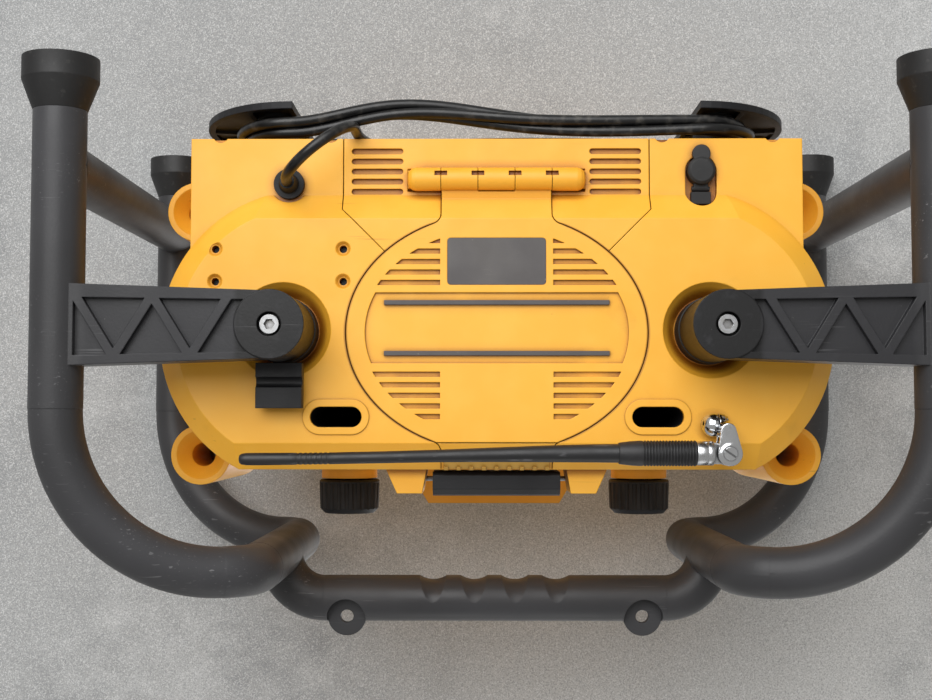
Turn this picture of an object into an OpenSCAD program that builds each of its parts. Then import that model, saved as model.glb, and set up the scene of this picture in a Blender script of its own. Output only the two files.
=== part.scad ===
// Jobsite radio with a roll cage: casing, cage, speakers, controls, battery door, aerial and mains cord.
// Millimetres. +Z is up, the front faces -Y, and the origin is on the ground under the middle.

/* [Roll cage] */
// Outside diameter of the cage tube
tube_d = 28; // [25:0.5:30]
// Wall of the cage tube
tube_wall = 3.5; // [2.5:0.5:5]
// Distance of each leg from the middle, sideways
leg_x = 230.5; // [228:0.5:240]
// Distance of each leg from the middle, front to back
leg_y = 135; // [132:1:145]
// Radius of the big bend at the top of each leg
corner_r = 88; // [84:1:92]
// Angle by which the big bend leans in towards the handle
tuck_angle = 20; // [16:1:24]
// Radius of the small bend that turns each tube towards the handle
tuck_r = 23; // [20:1:26]
// Height of the bars that join the front legs to the back legs
side_bar_z = 56; // [50:1:62]
// Diameter of a rubber foot
foot_d = 40; // [36:1:44]
// Height of a foot's straight rim
foot_rim = 12; // [8:1:16]
// Height of a foot's taper above its rim
foot_taper = 16; // [12:1:20]

/* [Carry handle] */
// Height of the handle's axis
handle_z = 300.5; // [298:0.5:312]
// Radius of the bend at each end of the handle
handle_r = 28; // [24:1:30]
// Distance between two finger grooves
groove_pitch = 25.2; // [24:0.1:27]
// Depth of a finger groove
groove_depth = 2.5; // [1.5:0.5:3]
// Number of finger grooves
groove_count = 4; // [3:1:5]
// Distance of each strap eye from the middle
eye_x = 91; // [84:1:94]
// Diameter of the hole in a strap eye
eye_bore_d = 8; // [6:0.5:9]
// Diameter of a strap eye
eye_d = 23.5; // [20:0.5:26]
// Thickness of a strap eye
eye_t = 5; // [4:0.5:7]

/* [Arms and mountings] */
// Distance of each hub from the middle
hub_x = 117.8; // [116:0.1:120]
// Height of the hubs
hub_z = 141; // [138:0.1:143]
// Diameter of a hub
hub_d = 36; // [34:0.5:38]
// Height of an arm next to its leg
arm_h = 43; // [39:1:46]
// Depth of an arm, front to back
arm_t = 24; // [20:1:28]
// Depth of the pockets in an arm
pocket_d = 4; // [2:0.5:6]
// Spacing of the truss ribs along an arm
truss_pitch = 39.6; // [38:0.2:41]
// Width of a truss rib
truss_w = 4.5; // [3.5:0.5:6]
// Thickness of a rubber isolator
isolator_t = 15; // [13:1:17]
// Diameter of the cage bolts
bolt_d = 6; // [5:0.5:7]

/* [Casing] */
// Distance of the casing's back face from the middle
back_y = 98; // [96:1:102]
// Distance of the front panel's face from the middle
front_y = 98; // [96:1:102]
// Where the front and rear casings meet
part_y = 40; // [34:1:46]
// Wall of the casing
wall = 3; // [2.5:0.5:3.5]
// Distance of each rounded end's centre from the middle
end_x = 105; // [104:1:110]
// Radius of each rounded end
end_r = 83; // [82:1:86]
// Height of the rounded ends' centres
end_z = 144; // [142:1:146]
// Height of the raised body's underside
body_z0 = 64.4; // [63:0.2:66]
// Height of the casing's flat top
body_z1 = 217.8; // [216:0.2:219]
// Half width of the square base block
block_x = 171.5; // [168:0.5:176]
// Height of the base block's underside
block_z0 = 32.5; // [32:0.1:34]
// Depth of the bevel round the back
bevel_d = 10; // [8:1:12]
// Width of the bevel round the back
bevel_w = 12; // [10:1:14]
// Depth of the front panel
panel_t = 8; // [7:1:10]
// Gap between neighbouring covers
gap = 0.5; // [0.3:0.1:0.8]

/* [Battery door] */
// Half width of the door's oval
door_rx = 83; // [80:0.5:84]
// Half height of the door's oval
door_rz = 66; // [62:0.5:68]
// Height of the door's middle
door_z = 142; // [140:1:144]
// Width of the door's hinge neck
neck_w = 61; // [56:1:64]
// Height of the hinge axis
hinge_z = 56.1; // [55:0.1:57]
// Distance of the hinge axis from the middle, front to back
hinge_y = 91; // [90:0.5:92]
// Diameter of the hinge barrel
barrel_d = 13.2; // [12:0.2:13.6]
// Length of the hinge barrel
barrel_l = 99; // [92:1:102]
// Diameter of the hinge pin
pin_d = 3; // [2.5:0.5:4]
// Height of a door louvre
louvre_h = 2.8; // [2:0.2:3.4]
// Spacing of the door louvres
louvre_pitch = 5.8; // [5.4:0.1:6.2]
// Depth of the door louvres
louvre_d = 1.6; // [1:0.2:2]

/* [Speakers] */
// Radius of a speaker opening
speaker_r = 60; // [57:1:61]
// Width of the rim of a speaker guard outside its opening
guard_lip = 4; // [3:0.5:5]
// Number of spokes in a speaker guard
spokes = 8; // [6:1:10]
// Width of a guard spoke
spoke_w = 4; // [3:0.5:6]
// Diameter of a speaker magnet
magnet_d = 58; // [50:1:64]

/* [Controls] */
// Diameter of a knob
knob_d = 38; // [35:0.5:40]
// Height of a knob
knob_h = 21; // [18:0.5:23]
// Distance of each knob from the middle
knob_x = 91.5; // [88:0.5:93]
// Distance of the knobs behind the middle, front to back
knob_y = -15; // [-18:1:-10]
// Number of flutes round a knob
flutes = 24; // [18:1:30]
// Half width of the display hood
hood_x = 58; // [56:1:64]
// Height of the display hood
hood_z = 244; // [242:1:250]
// Width of the display window
window_w = 70; // [62:1:76]
// Height of the display window
window_h = 30; // [26:1:32]
// Width of a key
key_w = 14; // [12:0.5:16]
// Height of a key
key_h = 9; // [8:0.5:10]
// Distance between two keys
key_pitch = 17.5; // [17:0.5:19]
// Travel of a key
key_travel = 1.5; // [1:0.1:2]

/* [Aerial] */
// Distance of the aerial's fold pin from the middle
aerial_x = 123; // [121:0.5:125]
// Height of the aerial's fold pin
aerial_z = 208; // [207:0.1:209]
// Distance of the aerial's axis from the middle, front to back
aerial_y = 116; // [115:0.1:118]
// Diameter of the aerial's chrome ball
ball_d = 13; // [12:0.5:14]
// Diameter of the aerial at its tip
whip_tip_d = 6; // [5:0.2:7]
// Diameter of the aerial at its root
whip_root_d = 10; // [9:0.2:11]
// Distance from the fold pin to the tip
whip_l = 261; // [250:1:262]
// Diameter of the ribbed boot
boot_d = 13.2; // [12:0.2:14]
// Length of the ribbed boot
boot_l = 42; // [36:1:48]

/* [Mains cord] */
// Diameter of the mains cord
cord_d = 6; // [5.5:0.1:6.5]
// Diameter of the cord gland's flange
gland_d = 17; // [15:0.5:18]
// Distance of the cord gland from the middle
gland_x = 116; // [112:1:118]
// Height of the cord gland
gland_z = 58.5; // [57:0.5:61]
// Half length of a cord hook's flange, front to back
hook_ry = 78; // [74:1:80]
// Thickness of a cord hook's flange
hook_t = 4; // [3.5:0.5:5]

/* [Hidden] */
$fn = 64;

safety = "gold";
black = [0.1, 0.1, 0.11];
steel = "silver";
slack = 0.3;   // clearance between pieces that move past each other
over = 0.1;    // overreach of a cut past the face it opens

// ---- cage geometry
tube_r = tube_d / 2;
run_z = handle_z - handle_r;
bend_z = run_z - corner_r;
foot_h = foot_rim + foot_taper;
tuck_in_x = leg_x - corner_r * cos(tuck_angle);
tuck_in_y = leg_y - corner_r * sin(tuck_angle);
tuck_c_x = tuck_in_x + tuck_r * sin(tuck_angle);
tuck_c_y = tuck_in_y - tuck_r * cos(tuck_angle);
run_x = tuck_c_x - tuck_r;
tee_l = 34;
eye_z = handle_z + tube_r - 3;

// ---- mounting stack, from the casing out to the hub face
seat_y = back_y - 12;
hub_in_y = seat_y + isolator_t;
arm_y1 = leg_y + 10.5;
hub_y = arm_y1 + 1;
bolt_head_d = bolt_d * 5 / 3;
bore_d = bolt_d + 0.6;
sink_y = hub_y - bolt_d - 1;
insert_y1 = seat_y - 4;
insert_l = 12;
insert_r = bolt_d / 2 + 2;
isolator_d = hub_d + 1;
seat_d = isolator_d + 1.2;
recess_d = seat_d + 15;
boss_r = recess_d / 2 + wall;

// ---- casing
bevel_z = bevel_w + 2.7;
block_y = back_y - bevel_d;
panel_y = front_y - panel_t;
lug_r = 17.5;
lug_hole_r = 7;
lug_screw_r = 2;
hood_y1 = -28;
lugs = [[173.5, 211], [177, 67]];
lug_screw_y = -20;
lug_face_y = part_y + 5;
lug_back_y = -70;
big = 400;
vent_count = 5;
vent_l = 28.9;
vent_w = 3.2;
vent_d = 2.2;
vent_pitch = 5.7;
vent_x = 66.7;
vent_z = 39.7;
seam_x = 86;
ledge_z = body_z1 - bevel_z;
door_t = wall;
port_x = 88.3;
port_z = 188.7;
port_w = 28.4;
port_h = 11.3;
collar_z = body_z1 + 9.2;
collar_r = knob_d / 2 - 1.5;
knob_z0 = collar_z + 1;

// ---- latch
latch_x = 35.5;
latch_z0 = body_z1 + 1.5;
latch_z1 = latch_z0 + 13.5;
latch_y0 = part_y + 8;
latch_y1 = 86;
latch_pin_r = 1.5;
latch_axis_y = latch_y0 + 5;
latch_axis_z = latch_z0 + 5;

// ---- display and keys
window_z = hood_z - 28;
key_z = 186;

// ---- aerial
ball_x = 117;
ball_y = back_y + 8;
ball_z = aerial_z - 15;
cap_x = ball_x + 2.2;
fork_r = 6.8;
tongue_t = 6;
cheek_t = 3;

// ---- knobs
bush_r = 4.5;
shaft_r = 3;

// ---- aux input
aux_x = 114.6;
aux_z = 51;
aux_cap_r = 7.8;
aux_anchor_z = 69.5;
aux_t = 4;

// ---- cord hooks
hook_x = 115;
hook_rx = 61;
hook_y = 10;
hook_z = 15;
stem_r = 11;

module along_y(y0, y1) translate([0, y1, 0]) rotate([90, 0, 0]) linear_extrude(y1 - y0) children();
module along_x(x0, x1) translate([x0, 0, 0]) rotate([90, 0, 90]) linear_extrude(x1 - x0) children();
module ycyl(r, y0, y1, x = 0, z = 0) translate([x, y0, z]) rotate([-90, 0, 0]) cylinder(r = r, h = y1 - y0);
module ycone(r0, r1, y0, y1, x = 0, z = 0)
    translate([x, y0, z]) rotate([-90, 0, 0]) cylinder(r1 = r0, r2 = r1, h = y1 - y0);
module xcyl(r, x0, x1, y = 0, z = 0) translate([x0, y, z]) rotate([0, 90, 0]) cylinder(r = r, h = x1 - x0);
module ybox(x0, x1, y0, y1, z0, z1) translate([x0, y0, z0]) cube([x1 - x0, y1 - y0, z1 - z0]);
module slot_2d(l, w) {
    square([l - w, w], center = true);
    for (s = [-1, 1]) translate([s * (l - w) / 2, 0]) circle(d = w);
}
module round_rect(w, h, r) {
    square([w - 2 * r, h], center = true);
    square([w, h - 2 * r], center = true);
    for (i = [-1, 1], j = [-1, 1]) translate([i * (w / 2 - r), j * (h / 2 - r)]) circle(r);
}
module left_right() for (s = [0, 1]) mirror([s, 0, 0]) children();
module four_corners() for (s = [0, 1], t = [0, 1]) mirror([s, 0, 0]) mirror([0, t, 0]) children();

// ================================================================ roll cage
// A tube's bend laps into what it joins at both ends, and is slimmer by a hair so that no two skins coincide.
joint_lap = 0.4;
hair = 0.1;
module bend(radius, angle, r) let (lap = joint_lap / radius * 180 / PI) rotate([0, 0, -lap])
    rotate_extrude(angle = angle + 2 * lap) translate([radius, 0]) circle(r);

// One leg's tube: up the leg, round the big bend, round the small bend and back to the handle's tee.
module leg_tube(r) {
    translate([leg_x, leg_y, foot_h]) cylinder(r = r, h = bend_z - foot_h);
    translate([leg_x, leg_y, bend_z]) rotate([0, 0, tuck_angle]) translate([-corner_r, 0, 0])
        rotate([90, 0, 0]) bend(corner_r, 90, r - 2 * hair);
    translate([tuck_c_x, tuck_c_y, run_z]) rotate([0, 0, tuck_angle + 90])
        bend(tuck_r, 90 - tuck_angle, r - hair);
    ycyl(r, tee_l / 2, tuck_c_y, run_x, run_z);
}

module arm_blank() along_y(arm_y1 - arm_t, arm_y1) polygon([
    [hub_x, hub_z - hub_d / 2 + 0.6], [leg_x, hub_z - arm_h / 2],
    [leg_x, hub_z + arm_h / 2], [hub_x, hub_z + hub_d / 2 - 0.6]]);

module truss_pockets() {
    rail = 5.5;
    low = -arm_h / 2 + rail + 2;
    high = arm_h / 2 - rail;
    first = leg_x - tube_r + 1.5;
    rib = truss_w * 0.62;
    difference() {
        polygon([[hub_x, low + 1.5], [first + 1, low], [first + 1, high], [hub_x, high - 2]]);
        circle_at_hub(hub_d / 2 + 0.6);
        for (k = [0 : 3]) let (x0 = first - k * truss_pitch / 2, up = k % 2 == 0)
            polygon([[x0 - rib, up ? low - 1 : high + 1], [x0 + rib, up ? low - 1 : high + 1],
                     [x0 - truss_pitch / 2 + rib, up ? high + 1 : low - 1],
                     [x0 - truss_pitch / 2 - rib, up ? high + 1 : low - 1]]);
    }
}
module circle_at_hub(r) translate([hub_x, 0]) circle(r);

module frame_quarter() color(black) difference() {
    union() {
        leg_tube(tube_r);
        arm_blank();
        ycyl(hub_d / 2, hub_in_y, hub_y, hub_x, hub_z);
    }
    leg_tube(tube_r - tube_wall);
    translate([0, 0, hub_z]) along_y(arm_y1 - pocket_d, arm_y1 + over) truss_pockets();
    ycyl(bore_d / 2, hub_in_y - over, hub_y + over, hub_x, hub_z);
    ycyl(bolt_head_d / 2 + 1.3, sink_y, hub_y + over, hub_x, hub_z);
}

module side_bar() color(black) difference() {
    ycyl(tube_r, -leg_y, leg_y, leg_x, side_bar_z);
    ycyl(tube_r - tube_wall, -leg_y - over, leg_y + over, leg_x, side_bar_z);
    for (s = [-1, 1]) translate([leg_x, s * leg_y, 0]) cylinder(r = tube_r, h = bend_z);
}

module rubber_feet() color(black) four_corners() translate([leg_x, leg_y, 0]) difference() {
    union() {
        cylinder(d = foot_d, h = foot_rim);
        translate([0, 0, foot_rim]) cylinder(d1 = foot_d, d2 = tube_d, h = foot_taper);
    }
    translate([0, 0, foot_rim / 2]) cylinder(r = tube_r - tube_wall, h = foot_h);
}

module handle_half(r) {
    ycyl(r, -tee_l / 2, tee_l / 2, run_x, run_z);
    translate([run_x - handle_r, 0, run_z]) rotate([90, 0, 0]) bend(handle_r, 90, r - hair);
}
module finger_groove(x) translate([x, 0, handle_z + groove_depth]) rotate([0, 90, 0])
    rotate_extrude() translate([tube_r + groove_pitch * 0.6, 0]) circle(groove_pitch * 0.6);
module strap_eye(x) ycyl(eye_d / 2, -eye_t / 2, eye_t / 2, x, eye_z);

module carry_handle() color(black) difference() {
    union() {
        difference() {
            union() {
                left_right() handle_half(tube_r);
                xcyl(tube_r, handle_r - run_x, run_x - handle_r, 0, handle_z);
            }
            left_right() ycyl(eye_d / 2, -tube_d, tube_d, eye_x, eye_z);
        }
        left_right() strap_eye(eye_x);
    }
    for (k = [0 : groove_count - 1]) finger_groove((k - (groove_count - 1) / 2) * groove_pitch);
    left_right() ycyl(eye_bore_d / 2, -eye_t, eye_t, eye_x, eye_z);
}

// ================================================================ cage mountings
module isolators() color(black) four_corners() difference() {
    ycyl(isolator_d / 2, seat_y, hub_in_y, hub_x, hub_z);
    ycyl(bore_d / 2 + 3, seat_y - over, hub_in_y + over, hub_x, hub_z);
}
module isolator_sleeves() color(steel) four_corners() difference() {
    ycyl(bore_d / 2 + 3, seat_y, hub_in_y, hub_x, hub_z);
    ycyl(bore_d / 2, seat_y - over, hub_in_y + over, hub_x, hub_z);
}
module cage_bolts() color(steel) four_corners() difference() {
    union() {
        ycyl(bolt_d / 2, insert_y1 - insert_l + 2, sink_y, hub_x, hub_z);
        ycyl(bolt_head_d / 2, sink_y, sink_y + bolt_d, hub_x, hub_z);
    }
    translate([hub_x, sink_y + bolt_d / 2, hub_z]) rotate([-90, 0, 0])
        cylinder(d = bolt_d * 0.95, h = bolt_d, $fn = 6);
}
module bolt_inserts() color("goldenrod") four_corners() difference() {
    ycyl(insert_r, insert_y1 - insert_l, insert_y1, hub_x, hub_z);
    ycyl(bolt_d / 2, insert_y1 - insert_l - over, insert_y1 + over, hub_x, hub_z);
}

// ================================================================ casing
// The raised body's back half: a flat-topped oval with a bevel, from y0 out to its face.
module body_form(inset, y0) {
    face = back_y - inset;
    low = body_z0 + inset;
    high = body_z1 - inset;
    intersection() {
        along_x(-end_x - end_r, end_x + end_r) polygon([[y0, low], [face - bevel_d, low],
            [face, low + bevel_z], [face, high - bevel_z], [face - bevel_d, high], [y0, high]]);
        union() {
            ybox(-end_x, end_x, y0, face, 0, 2 * end_z);
            left_right() {
                ycyl(end_r - inset, y0, face - bevel_d, end_x, end_z);
                ycone(end_r - inset, end_r - inset - bevel_w, face - bevel_d, face, end_x, end_z);
            }
        }
    }
}
module block_form(inset, y0)
    ybox(inset - block_x, block_x - inset, y0, block_y - inset, block_z0 + inset, end_z);
module skin(y0, inner_y0) difference() {
    union() { body_form(0, y0); block_form(0, y0); }
    body_form(wall, inner_y0);
    block_form(wall, inner_y0);
}

function oval(rx, rz, n = 96) = [for (k = [0 : n - 1]) [rx * cos(360 * k / n), rz * sin(360 * k / n)]];
function oval_z(x) = door_rz * sqrt(1 - pow(x / door_rx, 2));
function lean(x) = let (nx = x / pow(door_rx, 2), nz = oval_z(x) / pow(door_rz, 2)) nx / norm([nx, nz]);

// Door outline seen from behind: the oval, its neck at the hinge and the latch ledge that ends it.
neck_fillet = 6;
fillet_x = neck_w / 2 + neck_fillet;
fillet_reach = neck_fillet * (1 - lean(neck_w / 2 + neck_fillet * 0.7));
fillet_z = oval_z(neck_w / 2 + fillet_reach)
    + neck_fillet * sqrt(1 - pow(lean(neck_w / 2 + fillet_reach), 2));
module door_outline(grow) translate([0, door_z]) intersection() {
    union() {
        polygon(oval(door_rx + grow, door_rz + grow));
        for (t = [0, 1]) mirror([0, t]) {
            translate([-neck_w / 2 - grow, -door_z]) square([neck_w + 2 * grow, door_z]);
            for (s = [0, 1]) mirror([s, 0]) difference() {
                translate([neck_w / 2 - 1, -fillet_z])
                    square([fillet_reach + 1 + grow, neck_fillet * 1.5]);
                translate([fillet_x, -fillet_z]) circle(neck_fillet - grow);
            }
        }
    }
    translate([-door_rx * 2, hinge_z - door_z]) square([door_rx * 4, big]);
}
// The opening for the door stops at the latch ledge, where only the casing's bevel is cut.
module door_opening() {
    along_y(part_y, back_y + over) intersection() {
        door_outline(gap);
        translate([-big, 0]) square([2 * big, ledge_z]);
    }
    along_y(block_y, back_y + over) door_outline(gap);
}
module latch_ledge() intersection() {
    along_y(block_y - wall, back_y) door_outline(0);
    body_form(0, part_y);
    ybox(-big, big, 0, big, ledge_z, big);
}

// Outline of the bottom panel that carries the hinge and the vents.
panel_top = end_z - 46;
module hinge_panel_outline(shrink) polygon([
    [shrink - seam_x, 0], [seam_x - shrink, 0], [seam_x - shrink, body_z0 + 9],
    [seam_x - 5 - shrink, body_z0 + 14], [door_rx * 0.74 - shrink, panel_top],
    [shrink - door_rx * 0.74, panel_top], [5 + shrink - seam_x, body_z0 + 14],
    [shrink - seam_x, body_z0 + 9]]);

seam_screws = [[-155.6, 96], [-155.6, 114], [-84.8, 96], [-84.8, 114]];
screw_r = 1;
screw_head_r = 2;
screw_sink = 9;
screw_dish_r = 4.3;
notch_z = 2.2;
rim_h = 0.6;
pill_w = 17.6;
pill_z0 = aux_z - pill_w / 2 - 0.2;
pill_y = block_y - 4;

pill_z1 = aux_anchor_z + 1.8;
module pill_2d(grow) translate([aux_x, (pill_z0 + pill_z1) / 2]) rotate(90)
    slot_2d(pill_z1 - pill_z0 + 2 * grow, pill_w + 2 * grow);
module port_2d(grow) translate([port_x, port_z]) slot_2d(port_w + 2 * grow, port_h + 2 * grow);
module hinge_cut(r) xcyl(r, -barrel_l / 2 - slack, barrel_l / 2 + slack, hinge_y, hinge_z);

module rear_casing() color(safety) difference() {
    union() {
        difference() {
            skin(part_y, part_y - over);
            door_opening();
            along_y(part_y, back_y + over) hinge_panel_outline(0);
        }
        left_right() ycyl(boss_r, seat_y - wall, back_y, hub_x, hub_z);
        left_right() ycyl(insert_r + wall, insert_y1 - insert_l - wall, seat_y, hub_x, hub_z);
        left_right() along_y(back_y - wall, back_y + rim_h) port_2d(4);
        along_y(pill_y - wall, block_y) pill_2d(wall);
        intersection() {
            for (p = seam_screws) ycyl(screw_dish_r, back_y - screw_sink - 9, back_y, p[0], p[1]);
            body_form(wall / 2, part_y);
        }
        left_right() latch_guard();
        latch_ledge();
    }
    left_right() {
        ycone(seat_d / 2, recess_d / 2, seat_y, back_y + over, hub_x, hub_z);
        ycyl(bore_d / 2, insert_y1, seat_y + over, hub_x, hub_z);
        ycyl(insert_r, insert_y1 - insert_l, insert_y1, hub_x, hub_z);
        along_y(part_y, back_y - wall) port_2d(1.5);
        along_y(part_y, back_y + rim_h + over) port_2d(0);
        for (x = [seam_x + 7, block_x - 16.5]) ycyl(notch_z * 2, block_y - wall - 1, block_y + over, x,
            block_z0 - notch_z);
        xcyl(latch_pin_r, latch_x, latch_x + 9, latch_axis_y, latch_axis_z);
    }
    along_y(pill_y, back_y + over) pill_2d(0);
    ycyl(4.5, pill_y - wall - over, pill_y + over, aux_x, aux_z);
    ycyl(gland_d / 2 + 2, block_y, back_y + over, -gland_x, gland_z);
    ycyl(gland_d / 2 - 2.5, block_y - wall - over, block_y + over, -gland_x, gland_z);
    ycyl(4, back_y - wall - over, back_y + over, ball_x, ball_z);
    for (p = seam_screws) {
        ycone(screw_head_r + 0.8, screw_dish_r, back_y - 1.8, back_y + over, p[0], p[1]);
        ycyl(screw_head_r + 0.1, back_y - screw_sink, back_y, p[0], p[1]);
        ycyl(screw_r, back_y - screw_sink - 8, back_y, p[0], p[1]);
    }
}
module latch_guard() along_y(latch_y0 + 2, latch_y1 - 2) polygon([[latch_x + 3, body_z1 - wall],
    [latch_x + 27.5, body_z1 - wall], [latch_x + 20, latch_z1 - 1.5], [latch_x + 6, latch_z1 - 1.5]]);

knuckle_w = barrel_l / 5 + 0.8;
module knuckle(k, r)
    xcyl(r, (k - 0.5) * knuckle_w + slack / 2, (k + 0.5) * knuckle_w - slack / 2, hinge_y, hinge_z);
module fixed_knuckles(r) {
    knuckle(0, r);
    x0 = 1.5 * knuckle_w + slack / 2;
    l = barrel_l / 2 - x0;
    left_right() translate([x0, hinge_y, hinge_z]) rotate([0, 90, 0]) rotate_extrude() polygon(
        [[0, 0], [r, 0], [r, l - 4.5], [r - 0.6, l - 2.4], [r - 2, l - 0.8], [r - 4, l], [0, l]]);
}
// Windows at the joints between the knuckles.
module hinge_windows() for (k = [-1.5, -0.5, 0.5, 1.5])
    ybox(k * knuckle_w - 3.5, k * knuckle_w + 3.5, hinge_y + 3, back_y, hinge_z - 3.9, hinge_z - 1.2);
module hinge_panel() color(safety) difference() {
    union() {
        difference() {
            intersection() {
                skin(part_y, part_y - over);
                along_y(part_y, back_y + over) hinge_panel_outline(gap);
            }
            door_opening();
            hinge_cut(barrel_d / 2 + 0.6);
        }
        difference() {
            ybox(gap - seam_x - 5, seam_x + 5 - gap, block_y - 6, block_y - wall, block_z0 + wall + gap,
                body_z0 - 3);
            ybox(5 - seam_x, seam_x - 5, block_y - 7, block_y, block_z0, body_z0);
        }
        ybox(-neck_w / 2 - 16, neck_w / 2 + 16, hinge_y - barrel_d / 2 - 6, hinge_y - barrel_d / 2 - 3,
            hinge_z - 14, hinge_z + 14);
        fixed_knuckles(barrel_d / 2);
        intersection() {
            ybox(-barrel_l / 2, barrel_l / 2, hinge_y - barrel_d / 2 - 4, hinge_y, hinge_z - 5, hinge_z + 5);
            fixed_knuckle_slabs();
        }
    }
    hinge_cut(pin_d / 2);
    hinge_windows();
    left_right() for (k = [0 : vent_count - 1]) translate([0, 0, vent_z + k * vent_pitch])
        along_y(block_y - vent_d, block_y + over) translate([vent_x, 0]) slot_2d(vent_l, vent_w);
}
module fixed_knuckle_slabs() for (x = [[-barrel_l / 2, -1.5 * knuckle_w - slack],
    [-knuckle_w / 2 + slack, knuckle_w / 2 - slack], [1.5 * knuckle_w + slack, barrel_l / 2]])
    ybox(x[0], x[1], part_y, back_y, 0, end_z);

// Toothed strip on the latch ledge.
keeper_z = body_z1 - 5.5;
keeper_w = 58;
tooth_pitch = 7;
module latch_keeper() color("khaki") {
    keeper_y = back_y - bevel_d * (keeper_z - body_z1 + bevel_z) / bevel_z;
    translate([0, keeper_y, keeper_z]) rotate([atan2(bevel_d, bevel_z), 0, 0]) {
        translate([-keeper_w / 2, 0, -3.5]) cube([keeper_w, 0.8, 9]);
        for (k = [-4 : 4]) translate([k * tooth_pitch - 1.1, 0, 3.8]) cube([2.2, 1.8, 2]);
    }
}

module front_half() mirror([0, 1, 0]) children();
module lug_web(x, z, w) translate([end_x, 0, end_z]) rotate([0, -atan2(z - end_z, x - end_x), 0])
    ybox(end_r - 8, norm([x - end_x, z - end_z]), lug_back_y + 2, lug_face_y - 6, -w / 2, w / 2);
module lug_recess(x, z) difference() {
    union() {
        ycyl(lug_hole_r, lug_screw_y, lug_face_y + over, x, z);
        ycone(lug_hole_r, lug_r - 3, lug_face_y - 9, lug_face_y + over, x, z);
    }
    block_form(0, -part_y);
}
module hood_form(inset, y0, y1) along_y(y0, y1) polygon([[inset - hood_x, body_z1 - 26],
    [inset - hood_x, body_z1], [inset - hood_x + 16, hood_z - inset], [hood_x - 16 - inset, hood_z - inset],
    [hood_x - inset, body_z1], [hood_x - inset, body_z1 - 26]]);

module front_casing() color(safety) difference() {
    union() {
        difference() {
            union() {
                front_half() skin(-part_y, -part_y - over);
                hood_form(0, -panel_y, hood_y1);
                left_right() for (p = lugs) {
                    ycyl(lug_r, lug_back_y, lug_face_y, p[0], p[1]);
                    lug_web(p[0], p[1], 26);
                }
            }
            front_half() body_form(wall, -part_y - over);
            front_half() block_form(wall, -part_y - over);
            ybox(-big, big, -front_y - over, -panel_y, 0, big);
            hood_form(wall, -panel_y - over, hood_y1 - wall);
            body_form(-gap, part_y);
            block_form(-gap, part_y);
        }
        left_right() translate([knob_x, knob_y, body_z1 - wall])
            cylinder(r = collar_r, h = collar_z - body_z1 + wall);
    }
    left_right() {
        for (p = lugs) {
            lug_recess(p[0], p[1]);
            ycyl(lug_screw_r, lug_screw_y - 16, lug_screw_y + over, p[0], p[1]);
        }
        translate([knob_x, knob_y, body_z1 - wall - over]) cylinder(r = bush_r, h = collar_z);
    }
}

module key_2d(grow) round_rect(key_w + 2 * grow, key_h + 2 * grow, 2);
module key_places() for (k = [0 : 3]) translate([(k - 1.5) * key_pitch, key_z]) children();
post_y = panel_y - 6;
module front_panel() color(safety) difference() {
    union() {
        intersection() {
            front_half() body_form(0, 0);
            ybox(-big, big, -front_y, -panel_y, 0, big);
        }
        hood_form(0, -front_y, -panel_y);
        intersection() {
            left_right() ycyl(speaker_r + 12, -panel_y - over, -panel_y + 2, hub_x, hub_z);
            front_half() body_form(wall + slack, 0);
        }
        for (x = [-46, 46], z = [key_z - 30, key_z + 22]) ycyl(3.5, -panel_y - over, -post_y, x, z);
    }
    left_right() ycyl(speaker_r, -front_y - over, 0, hub_x, hub_z);
    ybox(-window_w / 2, window_w / 2, -front_y - over, -panel_y + over, window_z - window_h / 2,
        window_z + window_h / 2);
    along_y(-front_y - over, -panel_y + over) key_places() key_2d(slack);
}

// ================================================================ inside
bay_x = 52;
bay_z0 = 92;
bay_z1 = 196;
bay_y0 = 30;
tray_t = 2.5;
tray_face_y = back_y - door_t - 0.6;

module battery_tray() color("dimgray") difference() {
    union() {
        ybox(-bay_x - tray_t, bay_x + tray_t, bay_y0 - tray_t, tray_face_y, bay_z0 - tray_t, bay_z1 + tray_t);
        intersection() {
            translate([0, 0, door_z]) along_y(tray_face_y - tray_t, tray_face_y)
                polygon(oval(door_rx + 3, door_rz + 3));
            ybox(-big, big, 0, big, bay_z0 - tray_t - 4, ledge_z - wall);
        }
    }
    ybox(-bay_x, bay_x, bay_y0, tray_face_y + over, bay_z0, bay_z1);
}
module battery_contacts() color("goldenrod") {
    ybox(-18, 18, bay_y0, bay_y0 + 8, bay_z1 - 26, bay_z1 - 10);
    for (x = [-12, -4, 4, 12]) ybox(x - 0.6, x + 0.6, bay_y0 + 8, bay_y0 + 20, bay_z1 - 24, bay_z1 - 12);
}

floor_z = block_z0 + wall;
board_t = 1.6;
key_back_y = 1.7 - panel_y;
charger_x = -105;
charger_w = 80;
charger_l = 72;
core_x = 96;
core_w = 52;
core_l = 58;
coil_h = 42;
module charger_board() color("darkgreen") translate([charger_x, -2, floor_z + 5]) {
    translate([-charger_w / 2, -charger_l / 2, 0]) cube([charger_w, charger_l, board_t]);
    for (i = [-1, 1], j = [-1, 1]) translate([i * (charger_w / 2 - 7), j * (charger_l / 2 - 7), -5])
        cylinder(r = 3, h = 5 + board_t / 2);
    for (k = [-1 : 1]) translate([k * charger_w * 0.26, 10, board_t / 2]) cylinder(r = 6.5, h = 18);
    translate([-charger_w * 0.35, 8 - charger_l / 2, board_t / 2]) cube([charger_w * 0.7, 16, 15]);
}
module transformer() color("dimgray") translate([core_x, -3, floor_z]) {
    translate([-core_w / 2, -core_l / 2, 0]) cube([core_w, core_l, 12]);
    translate([6 - core_w / 2, 6 - core_l / 2, 0]) cube([core_w - 12, core_l - 12, coil_h]);
}
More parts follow.
